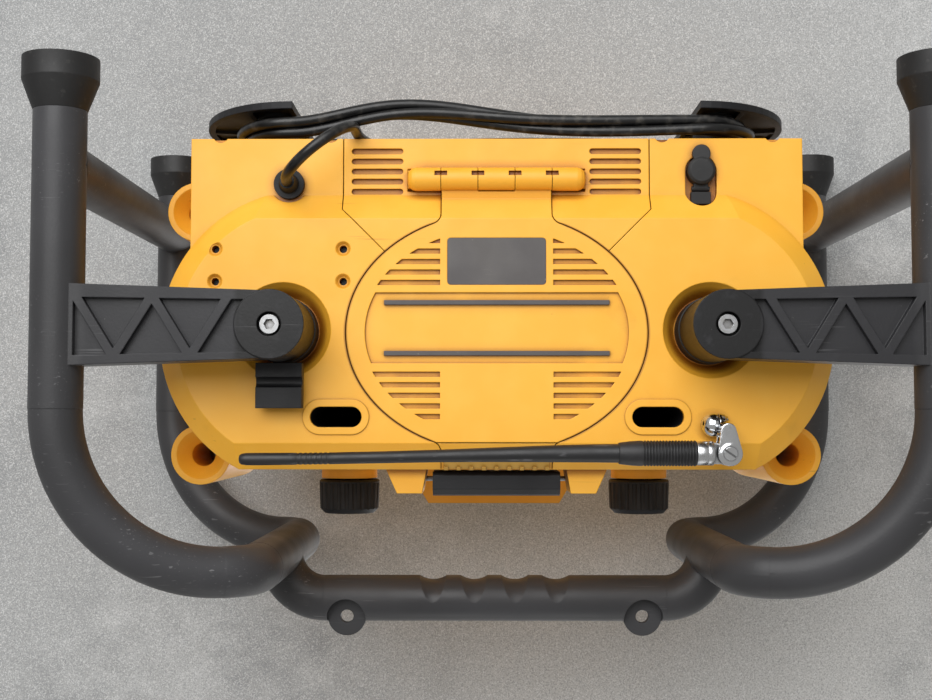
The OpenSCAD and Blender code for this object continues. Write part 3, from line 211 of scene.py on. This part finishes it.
def yellow_plastic():
    """Satin yellow mouldings: fine spark texture, brown dirt and painted shade in the seams and a few dark
    rubs.
    """
    finish = Finish("yellow_plastic", "#FBB836", 0.4, rounding=0.9 * MM)
    finish.tint(finish.noise(9, 0.35, 0.7), "#F7AB2A", 0.6)
    finish.tint(finish.noise(60, 0.42, 0.75), "#FFC54E", 0.3)
    # Patchy brown dirt with painted shade: darker in corners, seams and grooves.
    finish.tint(finish.times(finish.crevice_shade(0.006), finish.noise(35, 0.1, 0.42)), "#8C4403", 0.9)
    finish.tint(door_seam(finish), "#7A4209", 0.75)
    finish.tint(finish.noise(26, 0.68, 0.82, detail=8.0), "#A9701C", 0.3)
    finish.tint(finish.noise(420, 0.75, 0.8), "#6F4312", 0.4)
    finish.tint(finish.scratches((0.3, 0.9, 0.4), 16, 0.71, 0.74), "#7B4D18", 0.3)
    finish.rough(finish.noise(22, 0.35, 0.7), 0.52)
    finish.bump(finish.noise(1500, 0.2, 0.8, detail=2.0), 0.06 * MM, 0.5)
    return finish


ARM_BAND = (0.118, 0.164, 0.004)
ARM_FADE = (0.217, 0.213)
HUB_FADE = (0.137, 0.134)


def tube_plastic():
    """Satin black tube: grained, a little dusty, scuffed pale. Its truss arms and hubs are darker."""
    finish = Finish("tube_plastic", "#373739", 0.38, rounding=0.8 * MM, shine=0.34)
    finish.tint(finish.noise(11, 0.4, 0.7), "#444447", 0.8)
    in_arm = finish.times(finish.band(finish.away("Z"), *ARM_BAND), finish.ramp(finish.away("X"), *ARM_FADE))
    finish.tint(in_arm, "#2A2A2D", 0.85)
    finish.tint(finish.times(in_arm, finish.ramp(finish.away("X"), *HUB_FADE)), "#0C0C0D", 0.9)
    finish.tint(finish.noise(160, 0.6, 0.75), "#38383C", 0.3)
    finish.tint(finish.scratches((0.2, 0.5, 1.1), 13), "#8E8E90", 0.45)
    finish.tint(finish.scratches((0.7, 1.3, 0.4), 30, 0.67, 0.7), "#6E6E70", 0.35)
    finish.tint(finish.scratches((1.0, 0.2, 0.3), 21, 0.71, 0.74), "#77777A", 0.4)
    finish.tint(finish.noise(330, 0.77, 0.81), "#A3A3A0", 0.35)
    dust = finish.times(finish.noise(6, 0.58, 0.66), finish.noise(90, 0.5, 0.7, detail=6.0))
    finish.tint(dust, "#6F6D6A", 0.4)
    finish.rough(finish.noise(28, 0.35, 0.65), 0.5)
    finish.bump(finish.noise(700, 0.2, 0.8, detail=3.0), 0.08 * MM, 0.5)
    return finish


def arm_plastic():
    """Moulded black guards, hooks, bezel, latch and clip, a little flatter than the tubes."""
    finish = Finish("arm_plastic", "#19191B", 0.44, rounding=0.7 * MM, shine=0.32)
    finish.tint(finish.noise(18, 0.4, 0.7), "#232326", 0.8)
    # Painted shade: near black in corners and grooves.
    finish.tint(finish.crevice_shade(0.006), "#0C0C0D", 0.7)
    finish.tint(finish.scratches((0.1, 0.4, 0.2), 17), "#6E6E72", 0.35)
    finish.rough(finish.noise(40, 0.35, 0.65), 0.58)
    finish.bump(finish.noise(1100, 0.2, 0.8, detail=2.0), 0.08 * MM, 0.6)
    return finish


def dark_plastic():
    finish = Finish("dark_plastic", "#111113", 0.6, rounding=0.5 * MM)
    finish.tint(finish.noise(45, 0.4, 0.7), "#1B1B1D", 0.8)
    finish.bump(finish.noise(900, 0.2, 0.8, detail=2.0), 0.06 * MM, 0.5)
    return finish


def black_rubber():
    """Smooth satin rubber with a haze of dust."""
    finish = Finish("black_rubber", "#161617", 0.5, rounding=0.8 * MM)
    finish.tint(finish.noise(30, 0.45, 0.7), "#222223", 0.8)
    finish.tint(finish.noise(260, 0.6, 0.72), "#4B4A47", 0.3)
    finish.rough(finish.noise(50, 0.3, 0.7), 0.66)
    finish.bump(finish.noise(650, 0.2, 0.8), 0.06 * MM, 0.5)
    return finish


def soft_key_rubber():
    finish = Finish("key_rubber", "#1A1A1C", 0.58, rounding=0.6 * MM, shine=0.35)
    finish.tint(finish.noise(80, 0.4, 0.7), "#2B2B2D", 0.8)
    finish.bump(finish.noise(1600, 0.2, 0.8, detail=2.0), 0.05 * MM, 0.6)
    return finish


def plated_steel():
    finish = Finish("plated_steel", "#A3A4A6", 0.34, metallic=1.0, rounding=0.3 * MM)
    finish.tint(finish.noise(240, 0.5, 0.75), "#8E8D88", 0.6)
    # Painted shade: brownish grey in corners and hollows.
    finish.tint(finish.crevice_shade(0.003), "#4A443C", 0.6)
    finish.rough(finish.noise(300, 0.3, 0.7), 0.42)
    finish.bump(finish.noise(900, 0.3, 0.7, finish.stretched((1, 9, 1))), 0.03 * MM, 0.5)
    return finish


def chrome():
    finish = Finish("chrome", "#D3D5D8", 0.13, metallic=1.0, rounding=0.5 * MM)
    finish.tint(finish.noise(190, 0.6, 0.8), "#A8A6A0", 0.5)
    # Painted shade: dark rings in corners and round the screw.
    finish.tint(finish.crevice_shade(0.002), "#26262A", 0.9)
    finish.rough(finish.noise(120, 0.4, 0.75), 0.24)
    finish.bump(finish.noise(300, 0.3, 0.7), 0.02 * MM, 0.4)
    return finish


def brushed_steel():
    """The aerial's ferrule, turned and polished round its axis."""
    finish = Finish("brushed_steel", "#C9CBCE", 0.24, metallic=1.0, rounding=0.2 * MM)
    finish.tint(finish.noise(240, 0.5, 0.8), "#9C9A95", 0.4)
    finish.rough(finish.noise(500, 0.3, 0.7, finish.stretched((6, 1, 1))), 0.36)
    finish.bump(finish.noise(900, 0.3, 0.7, finish.stretched((9, 1, 1))), 0.02 * MM, 0.4)
    return finish


def rod_sheath():
    """The aerial rod's black sleeve, satin and rubbed along its length."""
    finish = Finish("rod_sheath", "#1C1C1E", 0.38)
    finish.tint(finish.noise(70, 0.4, 0.7, finish.stretched((0.3, 1, 1))), "#29292B", 0.8)
    finish.tint(finish.noise(300, 0.66, 0.74, finish.stretched((0.25, 1, 1))), "#77767A", 0.4)
    finish.rough(finish.noise(120, 0.3, 0.7), 0.52)
    finish.bump(finish.noise(900, 0.2, 0.8), 0.04 * MM, 0.5)
    return finish


def boot_rubber():
    finish = Finish("boot_rubber", "#1F1F21", 0.5)
    finish.tint(finish.noise(220, 0.4, 0.7), "#2C2C2E", 0.7)
    # Painted shade: near black between the ribs.
    finish.tint(finish.crevice_shade(0.0012), "#0A0A0B", 0.8)
    finish.bump(finish.noise(1400, 0.2, 0.8), 0.04 * MM, 0.5)
    return finish


def dark_steel():
    finish = Finish("dark_steel", "#26272A", 0.45, metallic=0.3, rounding=0.4 * MM)
    finish.tint(finish.noise(60, 0.4, 0.7), "#37383B", 0.7)
    finish.bump(finish.noise(1200, 0.2, 0.8), 0.05 * MM, 0.5)
    return finish


def brass():
    finish = Finish("brass", "#C29A4B", 0.3, metallic=1.0, rounding=0.2 * MM)
    finish.tint(finish.noise(200, 0.5, 0.7), "#8D6B33", 0.6)
    finish.bump(finish.noise(800, 0.3, 0.7), 0.03 * MM, 0.5)
    return finish


def circuit_board():
    finish = Finish("circuit_board", "#1C5530", 0.3, rounding=0.2 * MM)
    tracks = finish.add("ShaderNodeTexBrick", Vector=finish.place, Scale=140.0)
    finish.tint(finish.ramp(tracks.outputs["Fac"], 0.0, 1.0), "#2F7A48", 0.7)
    finish.tint(finish.noise(400, 0.62, 0.68), "#B9BDB5", 0.6)
    return finish


def print_film():
    """The dark grey film of the label plate and the badge."""
    finish = Finish("print_film", "#4B4747", 0.36, rounding=0.4 * MM)
    finish.tint(finish.noise(45, 0.4, 0.7), "#575351", 0.7)
    finish.tint(finish.scratches((0.2, 0.3, 0.9), 30), "#8C8880", 0.4)
    finish.tint(finish.noise(500, 0.72, 0.78), "#C9BFA5", 0.35)
    finish.rough(finish.noise(60, 0.3, 0.7), 0.5)
    finish.bump(finish.noise(1300, 0.2, 0.8), 0.03 * MM, 0.5)
    return finish


def keeper_plastic():
    """The ribbed latch strip, a paler and duller yellow: the body's yellow in painted shade."""
    finish = Finish("keeper_plastic", "#D6A545", 0.45, rounding=0.3 * MM)
    finish.tint(finish.noise(90, 0.4, 0.7), "#C2933A", 0.6)
    # Painted shade between the ribs.
    finish.tint(finish.crevice_shade(0.003), "#7A5010", 0.85)
    return finish


def speaker_mesh():
    """Black sheet steel with round holes in rows."""
    finish = Finish("speaker_mesh", "#232427", 0.42, metallic=0.4)
    cells = finish.add("ShaderNodeTexVoronoi", {"distance": "CHEBYCHEV"}, Vector=finish.place, Scale=520.0,
                       Randomness=0.0)
    holes = finish.ramp(cells.outputs["Distance"], 0.34, 0.28)
    finish.tint(holes, "#040404", 0.95)
    finish.bump(holes, -0.3 * MM, 0.8)
    return finish


def cone_paper():
    finish = Finish("cone_paper", "#1C1C1E", 0.75)
    finish.tint(finish.noise(260, 0.4, 0.7), "#2B2A29", 0.7)
    finish.bump(finish.noise(700, 0.2, 0.8), 0.15 * MM, 0.7)
    return finish


def liquid_crystal():
    finish = Finish("liquid_crystal", "#7B8A68", 0.25)
    cells = finish.add("ShaderNodeTexBrick", Vector=finish.place, Scale=900.0)
    finish.tint(finish.ramp(cells.outputs["Fac"], 0.0, 1.0), "#66745A", 0.6)
    return finish


def clear_window():
    finish = Finish("clear_window", "#E9EEEA", 0.06)
    finish.shader.inputs["Transmission Weight"].default_value = 0.85
    finish.shader.inputs["IOR"].default_value = 1.45
    finish.rough(finish.noise(30, 0.5, 0.8), 0.2)
    finish.bump(finish.scratches((0.4, 0.1, 0.8), 40), 0.02 * MM, 0.3)
    return finish


def cord_rubber():
    """Glossy black mains cable with dust and rubbed patches."""
    finish = Finish("cord_rubber", "#0B0B0C", 0.3)
    finish.tint(finish.noise(16, 0.45, 0.7), "#161617", 0.8)
    finish.tint(finish.times(finish.noise(9, 0.45, 0.6), finish.noise(180, 0.52, 0.7)), "#5A5650", 0.55)
    finish.rough(finish.noise(35, 0.4, 0.7), 0.45)
    finish.bump(finish.noise(220, 0.3, 0.7), 0.06 * MM, 0.4)
    return finish


def paint_everything():
    yellow_plastic().paint("rear_casing", "hinge_panel", "front_casing", "front_panel", "battery_door")
    tube_plastic().paint("frame_rear_left", "frame_rear_right", "frame_front_left", "frame_front_right",
                         "side_bar_left", "side_bar_right", "carry_handle")
    arm_plastic().paint("speaker_guard_left", "speaker_guard_right", "display_bezel", "door_latch",
                        "aerial_clip", "cord_hook_left", "cord_hook_right", "cord_gland")
    dark_plastic().paint("battery_tray", "aux_jack", "port_tubes", "transformer")
    black_rubber().paint("rubber_feet", "isolators", "aux_cover", "mains_plug")
    soft_key_rubber().paint("volume_knob", "tuning_knob", "power_key", "mode_key", "seek_down_key",
                            "seek_up_key")
    plated_steel().paint("isolator_sleeves", "cage_bolts", "corner_screws", "pivot_pins", "tuner_can",
                         "volume_pot", "tuning_encoder")
    dark_steel().paint("speaker_basket_left", "speaker_basket_right", "case_screws")
    brass().paint("bolt_inserts", "battery_contacts")
    circuit_board().paint("main_board", "charger_board")
    print_film().paint("door_badge", "door_label")
    keeper_plastic().paint("latch_keeper")
    speaker_mesh().paint("speaker_meshes")
    cone_paper().paint("speaker_cone_left", "speaker_cone_right")
    liquid_crystal().paint("display_module")
    clear_window().paint("display_window")


# ---------------------------------------------------------------- mains cord
CORD_D = 6 * MM

# The route, in millimetres: an arch out of the gland, a way under the casing, laps round two posts
# at WIND_X on either side, and a tail that ends in the plug.
ARCH_FROM, ARCH_TO = Vector((-116, 101, 58.5)), Vector((-78.5, 101, 29.2))
ARCH_POINTS = 8
CORD_UNDER = [
    (-78.4, 88, 29.2), (-77.6, 76, 29.2), (-74.9, 64, 29.2), (-70.2, 52.8, 29.2), (-63.4, 43, 29.2),
    (-54.8, 35, 29.2), (-44.8, 29.4, 29.2), (-34, 26, 28.8)]
CORD_TAIL = [
    (-148.3, 45, 24.5), (-146.3, 35, 23.7), (-142.6, 26, 22.6), (-139.5, 18, 21.7), (-138, 11, 21.4),
    (-138, 8, 21.4)]
WIND_X, WIND_R, STEM_Y, LAY_R = 115, 30, 55, 3.5
LAY_Z, LAY_DIP = 24.9, 9
STRAIGHT = 2 * WIND_X
ARC = math.pi * WIND_R
LAP = 2 * (STRAIGHT + ARC)
TWIST = math.radians(480)
WIND_START = 92
WIND_END = 2 * LAP + 2 * STRAIGHT + 1.5 * ARC
STRAND_STEP = 4


def bundle(s):
    """Middle of the bundle at a distance s along a lap, and the way outwards there."""
    if s < STRAIGHT:
        return Vector((s - WIND_X, STEM_Y - WIND_R, LAY_Z)), Vector((0, -1, 0))
    if s < STRAIGHT + ARC:
        angle, post = (s - STRAIGHT) / WIND_R - math.pi / 2, WIND_X
    elif s < 2 * STRAIGHT + ARC:
        t = (s - STRAIGHT - ARC) / STRAIGHT
        dip = LAY_DIP * math.sin(math.pi * t * t) ** 2
        return Vector((WIND_X - t * STRAIGHT, STEM_Y + WIND_R, LAY_Z - dip)), Vector((0, 1, 0))
    else:
        angle, post = (s - 2 * STRAIGHT - ARC) / WIND_R + math.pi / 2, -WIND_X
    out = Vector((math.cos(angle), math.sin(angle), 0))
    return Vector((post, STEM_Y, LAY_Z)) + WIND_R * out, out


def strand(s):
    """A place on the cord, which twists about the middle of the bundle."""
    centre, out = bundle(s % LAP)
    twist = TWIST * (s - WIND_END) / LAP
    return centre + LAY_R * (math.cos(twist) * out + math.sin(twist) * Vector((0, 0, 1)))


def smooth(points, steps):
    """Points on a Catmull-Rom curve through points."""
    ends = [2 * points[0] - points[1], *points, 2 * points[-1] - points[-2]]
    made = []
    for a, b, c, d in zip(ends, ends[1:], ends[2:], ends[3:]):
        for k in range(steps):
            t = k / steps
            made.append(0.5 * (2 * b + (c - a) * t + (2 * a - 5 * b + 4 * c - d) * t * t
                               + (3 * b - a - 3 * c + d) * t ** 3))
    return made + [points[-1]]


def cord_route():
    """Points along the cord's centre line from the gland to the plug, in metres."""
    count = round((WIND_END - WIND_START) / STRAND_STEP)
    wound = [strand(WIND_START + (WIND_END - WIND_START) * i / count) for i in range(count + 1)]
    middle, half = (ARCH_FROM + ARCH_TO) / 2, (ARCH_TO - ARCH_FROM) / 2
    arch = [middle - math.cos(a) * half + Vector((0, math.sin(a) * half.length, 0))
            for a in (math.pi * k / ARCH_POINTS for k in range(ARCH_POINTS + 1))]
    head = [ARCH_FROM - Vector((0, 2, 0)), *arch, *map(Vector, CORD_UNDER), wound[0]]
    head = smooth(head, 4)[:-1]
    tail = smooth(wound[-1:] + [Vector(p) for p in CORD_TAIL], 4)[1:]
    return [p * MM for p in head + wound + tail]


def make_cord():
    route = cord_route()
    data = bpy.data.curves.new("power_cord_cable", "CURVE")
    data.dimensions = "3D"
    data.bevel_depth = CORD_D / 2
    data.bevel_resolution = 4
    data.use_fill_caps = True
    line = data.splines.new("POLY")
    line.points.add(len(route) - 1)
    for point, place in zip(line.points, route):
        point.co = (*place, 1)
    line.use_smooth = True
    cord = bpy.data.objects.new("power_cord_cable", data)
    scene.collection.objects.link(cord)
    data.materials.append(cord_rubber().material)
    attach(cord, "radio")
    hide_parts("power_cord")
    measured = sum((b - a).length for a, b in zip(route, route[1:]))
    print(f"cord route: {measured:.3f} m in {len(route)} points")


# ---------------------------------------------------------------- aerial
# In millimetres, with the rod along X.
AERIAL_Y, AERIAL_Z = 116, 208
PIVOT_X = 123
BALL = Vector((117, 106, 193))
FERRULE_X, BOOT_X, ROD_X, TIP_X = 115, 106, 64, -138
ROD_DROOP = 3.2
RIBS, RIB_PITCH = 17, 1.65
GROOVES, GROOVE_X, GROOVE_PITCH = 7, -89.5, 2.7
EYE_R, EYE_Y0, EYE_Y1 = 5.8, 113.1, 118.9
CHEEKS = ((109.9, 112.5), (119.5, 122.1))
CHEEK_STEPS = 8
KNEE_X, KNEE_Z, KNEE_R = 122.2, 196, 4.2
CAP_RINGS = ((119.4, 6.4), (121, 6.1), (122.6, 5), (123.6, 3.4))
CAP_RING = 1.9
SCREW_R, SCREW_Y0, SCREW_Y1 = 3.6, 122, 123.1
SLOT_HALF, SLOT_TURN = 0.45, 0.6
SIDES, DRUM_SIDES = 56, 48
STRUT_BALLS = 7
CAST_VOXEL, CAST_ROUNDS = 0.4, 3


def finished(name, mesh, finish, body, node):
    """Put a new piece in the scene, with its finish, its body and the node that it stands for."""
    made = bpy.data.objects.new(name, mesh)
    scene.collection.objects.link(made)
    mesh.materials.clear()
    mesh.materials.append(finish.material)
    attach(made, body)
    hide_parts(node)


def turned(name, profile, lift=lambda x: 0):
    """A mesh turned about the rod's axis, which lift moves along Z, from pairs of place and radius."""
    points, faces = [], []
    for x, radius in profile:
        for k in range(SIDES):
            a = 2 * math.pi * k / SIDES
            points.append(Vector((x, AERIAL_Y + radius * math.cos(a), AERIAL_Z + lift(x)
                                  + radius * math.sin(a))) * MM)
    for i in range(len(profile) - 1):
        for k in range(SIDES):
            n = (k + 1) % SIDES
            faces.append((i * SIDES + k, i * SIDES + n, (i + 1) * SIDES + n, (i + 1) * SIDES + k))
    faces += [tuple(range(SIDES))[::-1], tuple((len(profile) - 1) * SIDES + k for k in range(SIDES))]
    mesh = bpy.data.meshes.new(name)
    mesh.from_pydata(points, [], faces)
    mesh.shade_smooth()
    mesh.set_sharp_from_angle(angle=math.radians(50))
    return mesh


def cylinder(shape, radius, depth, matrix):
    bmesh.ops.create_cone(shape, cap_ends=True, segments=DRUM_SIDES, radius1=radius * MM, radius2=radius * MM,
                          depth=depth * MM, matrix=matrix)


def drum(shape, radius, y0, y1, x, z):
    """Add a cylinder along Y."""
    turn = Matrix.Rotation(math.pi / 2, 4, "X")
    cylinder(shape, radius, y1 - y0, Matrix.Translation(Vector((x, (y0 + y1) / 2, z)) * MM) @ turn)


def block(shape, low, high):
    """Add a box between two corners."""
    low, high = Vector(low) * MM, Vector(high) * MM
    size = Matrix.Diagonal((*(high - low), 1))
    bmesh.ops.create_cube(shape, size=1, matrix=Matrix.Translation((low + high) / 2) @ size)


def strut(shape, start, end, radius0, radius1):
    """Add a run of balls from one point to another, which the cast skin joins."""
    start, end = Vector(start), Vector(end)
    for k in range(STRUT_BALLS):
        t = k / (STRUT_BALLS - 1)
        place = Matrix.Translation(start.lerp(end, t) * MM)
        bmesh.ops.create_icosphere(shape, subdivisions=3, radius=(radius0 + (radius1 - radius0) * t) * MM,
                                   matrix=place)


def cast(name, shape):
    """One smooth skin round overlapping solids, as a die casting has."""
    rough = bpy.data.meshes.new(name)
    shape.to_mesh(rough)
    shape.free()
    holder = bpy.data.objects.new(name, rough)
    scene.collection.objects.link(holder)
    skin = holder.modifiers.new("skin", "REMESH")
    skin.mode = "VOXEL"
    skin.voxel_size = CAST_VOXEL * MM
    skin.use_smooth_shade = True
    soft = holder.modifiers.new("soft", "SMOOTH")
    soft.factor = 0.5
    soft.iterations = CAST_ROUNDS
    mesh = bpy.data.meshes.new_from_object(holder.evaluated_get(bpy.context.evaluated_depsgraph_get()))
    bpy.data.objects.remove(holder)
    bpy.data.meshes.remove(rough)
    return mesh


def elbow_mesh():
    """Cap on the ball, arm up to the knuckle, and the knuckle's cheeks on either side of the rod's eye."""
    shape = bmesh.new()
    for y0, y1 in CHEEKS:
        for k in range(CHEEK_STEPS + 1):
            t = k / CHEEK_STEPS
            drum(shape, KNEE_R + 2.4 * t, y0, y1, KNEE_X + 0.8 * t, KNEE_Z + 12 * t)
    drum(shape, KNEE_R, CHEEKS[0][0], 122, KNEE_X, KNEE_Z)
    drum(shape, 4.9, 121.5, 122.5, PIVOT_X, AERIAL_Z)
    strut(shape, (121.6, 106.4, 193), (KNEE_X, 112, 195.6), 4.5, KNEE_R)
    for x, radius in CAP_RINGS:
        place = Matrix.Translation(Vector((x, BALL.y, BALL.z)) * MM) @ Matrix.Rotation(math.pi / 2, 4, "Y")
        cylinder(shape, radius, CAP_RING, place @ Matrix.Translation((0, 0, CAP_RING / 2 * MM)))
    return cast("aerial_knuckle", shape)


def screw_mesh():
    """The slotted screw in the knuckle's near cheek: two halves of a disc with the slot between them."""
    shape = bmesh.new()
    cos, sin = math.cos(SLOT_TURN), math.sin(SLOT_TURN)
    first = math.asin(SLOT_HALF / SCREW_R)
    rim = [first + (math.pi - 2 * first) * k / 20 for k in range(21)]
    for side in (-1, 1):
        outline = [(SCREW_R * math.cos(a), side * SCREW_R * math.sin(a)) for a in rim]
        turned_in = [(u * cos - v * sin, u * sin + v * cos) for u, v in outline]
        corners = [shape.verts.new(Vector((PIVOT_X + u, SCREW_Y1, AERIAL_Z + v)) * MM) for u, v in turned_in]
        face = shape.faces.new(corners if side < 0 else corners[::-1])
        grown = bmesh.ops.extrude_face_region(shape, geom=[face])
        for item in grown["geom"]:
            if isinstance(item, bmesh.types.BMVert):
                item.co.y = SCREW_Y0 * MM
    bmesh.ops.recalc_face_normals(shape, faces=shape.faces)
    mesh = bpy.data.meshes.new("aerial_screw")
    shape.to_mesh(mesh)
    shape.free()
    return mesh


def droop(x):
    """How far the rod's axis moves along Z towards its tip, which sinks in the picture."""
    t = min(1, max(0, (ROD_X - x) / (ROD_X - TIP_X)))
    return ROD_DROOP * t * t * (3 - 2 * t)


def rod_profile():
    """A sheath that thins towards its tip, with grooves near the end."""
    rod = [(ROD_X + 4, 5), (ROD_X, 5), (50, 4.85), (30, 4.55), (10, 4.15), (-10, 3.75), (-30, 3.4),
           (-60, 3.2), (-88, 3.15)]
    for k in range(GROOVES):
        x = GROOVE_X - GROOVE_PITCH * k
        rod += [(x, 3.2), (x - 0.5, 2.95), (x - 1.1, 2.95), (x - 1.6, 3.2)]
    return rod + [(-110, 3.25), (-128, 3.35), (-134, 3.3), (-136.6, 2.9), (-137.7, 2.1), (TIP_X, 1.1),
                  (TIP_X, 0.2)]


def boot_profile():
    """A ribbed grip with a plain, thinner end."""
    boot = [(BOOT_X, 6.2), (BOOT_X - 0.4, 6.7)]
    for k in range(RIBS):
        x = BOOT_X - 0.6 - k * RIB_PITCH
        boot += [(x, 6.75), (x - 0.35, 6.9), (x - 0.8, 6.75), (x - 1.0, 6.3), (x - 1.35, 6.3)]
    x = BOOT_X - 0.6 - RIBS * RIB_PITCH
    return boot + [(x, 6.7), (x - 2, 6.75), (x - 6, 6.5), (x - 11, 5.95), (x - 12.6, 5.7), (x - 12.9, 5.4),
                   (x - 12.9, 4.2)]


FERRULE_PROFILE = [
    (FERRULE_X, 5.2), (FERRULE_X, 6.1), (FERRULE_X - 0.4, 6.4), (FERRULE_X - 3, 6.4), (FERRULE_X - 3.3, 6.25),
    (FERRULE_X - 3.6, 6.4), (BOOT_X + 0.4, 6.4), (BOOT_X, 6.2), (BOOT_X, 5)]


def eye_mesh():
    """The rod's flat eye on the knuckle's pin, and the tongue that joins it to the ferrule."""
    shape = bmesh.new()
    drum(shape, EYE_R, EYE_Y0, EYE_Y1, PIVOT_X, AERIAL_Z)
    block(shape, (113.6, EYE_Y0, AERIAL_Z - 5.6), (PIVOT_X, EYE_Y1, AERIAL_Z + 5.6))
    return cast("aerial_eye", shape)


def make_aerial():
    eye = eye_mesh()
    sheath, rubber, steel, bright = rod_sheath(), boot_rubber(), brushed_steel(), chrome()
    finished("aerial_rod", turned("aerial_rod", rod_profile(), droop), sheath, "aerial", "aerial_whip")
    finished("aerial_boot", turned("aerial_boot", boot_profile()), rubber, "aerial", "aerial_whip")
    finished("aerial_ferrule", turned("aerial_ferrule", FERRULE_PROFILE), steel, "aerial", "aerial_whip")
    finished("aerial_eye", eye, bright, "aerial", "aerial_whip")
    finished("aerial_knuckle", elbow_mesh(), bright, "aerial_base", "aerial_elbow")
    finished("aerial_screw", screw_mesh(), bright, "aerial_base", "aerial_elbow")
    bright.paint("aerial_socket")


# ---------------------------------------------------------------- floor and light
MIDDLE = (0, 0, 0.15)
FLOOR_Y = -0.1565
FLOOR_SIZE = 4.0
# Painted light: where along x + z the floor turns lighter.
FLOOR_PAINTED_LIGHT = (-0.1, 0.75)
WORLD_COLOUR, WORLD_STRENGTH = (1.0, 0.98, 0.94, 1), 0.4
LAMPS = (
    ("sky", (-0.6, 2.15, -1.1), 2.3, 70.0),
    ("front_fill", (0.4, -1.6, 1.0), 1.2, 22.0),
    ("top_fill", (0.2, -0.2, 1.5), 1.0, 3.0))


def make_floor():
    """The pale floor that the radio lies on, behind it. It can't be seen from its back and stops no light."""
    mesh = bpy.data.meshes.new("floor")
    half = FLOOR_SIZE / 2
    corners = [(x, FLOOR_Y, z + MIDDLE[2])
               for x, z in ((half, -half), (-half, -half), (-half, half), (half, half))]
    mesh.from_pydata(corners, [], [(0, 1, 2, 3)])
    floor = bpy.data.objects.new("floor", mesh)
    scene.collection.objects.link(floor)
    finish = Finish("floor_stone", "#A5A6A6", 0.8)
    finish.tint(finish.noise(3, 0.35, 0.7), "#999B9C", 0.7)
    # Painted light: the floor grows lighter towards +X and +Z.
    diagonal = finish.maths("ADD", finish.along("X"), finish.along("Z"))
    finish.tint(finish.ramp(diagonal, *FLOOR_PAINTED_LIGHT), "#DADAD8", 0.6)
    stains = finish.times(finish.noise(5, 0.46, 0.6, detail=9.0), finish.noise(38, 0.35, 0.65, detail=8.0))
    finish.tint(stains, "#7E8082", 0.55)
    wear = finish.times(finish.noise(7, 0.5, 0.6, detail=6.0), finish.noise(60, 0.4, 0.7, detail=8.0))
    finish.tint(wear, "#C9CACA", 0.5)
    finish.tint(finish.noise(900, 0.46, 0.66, detail=1.0), "#7D7F82", 0.55)
    finish.tint(finish.noise(1300, 0.52, 0.68, detail=1.0), "#E2E3E3", 0.55)
    path = finish.add("ShaderNodeLightPath")
    shown = finish.maths("MAXIMUM", path.outputs["Is Camera Ray"], path.outputs["Is Glossy Ray"])
    front = finish.maths("SUBTRACT", 1.0, finish.add("ShaderNodeNewGeometry").outputs["Backfacing"])
    mix = finish.add("ShaderNodeMixShader", Fac=finish.times(shown, front))
    finish.feed(mix.inputs[1], finish.add("ShaderNodeBsdfTransparent").outputs[0])
    finish.feed(mix.inputs[2], finish.shader.outputs[0])
    finish.feed(finish.tree.nodes["Material Output"].inputs["Surface"], mix.outputs[0])
    mesh.materials.append(finish.material)


def lamp(name, place, size, power):
    """A square lamp that points at the middle of the radio."""
    data = bpy.data.lights.new(name, "AREA")
    data.shape = "SQUARE"
    data.size = size
    data.energy = power
    light = bpy.data.objects.new(name, data)
    scene.collection.objects.link(light)
    light.location = place
    light.rotation_euler = (Vector(MIDDLE) - Vector(place)).to_track_quat("-Z", "Y").to_euler()


def make_light():
    world = bpy.data.worlds.new("studio")
    world.use_nodes = True
    back = world.node_tree.nodes["Background"]
    back.inputs["Color"].default_value = WORLD_COLOUR
    back.inputs["Strength"].default_value = WORLD_STRENGTH
    scene.world = world
    for settings in LAMPS:
        lamp(*settings)


make_camera()
make_cord()
paint_everything()
make_aerial()
make_floor()
make_light()
scene.view_settings.view_transform = "Standard"
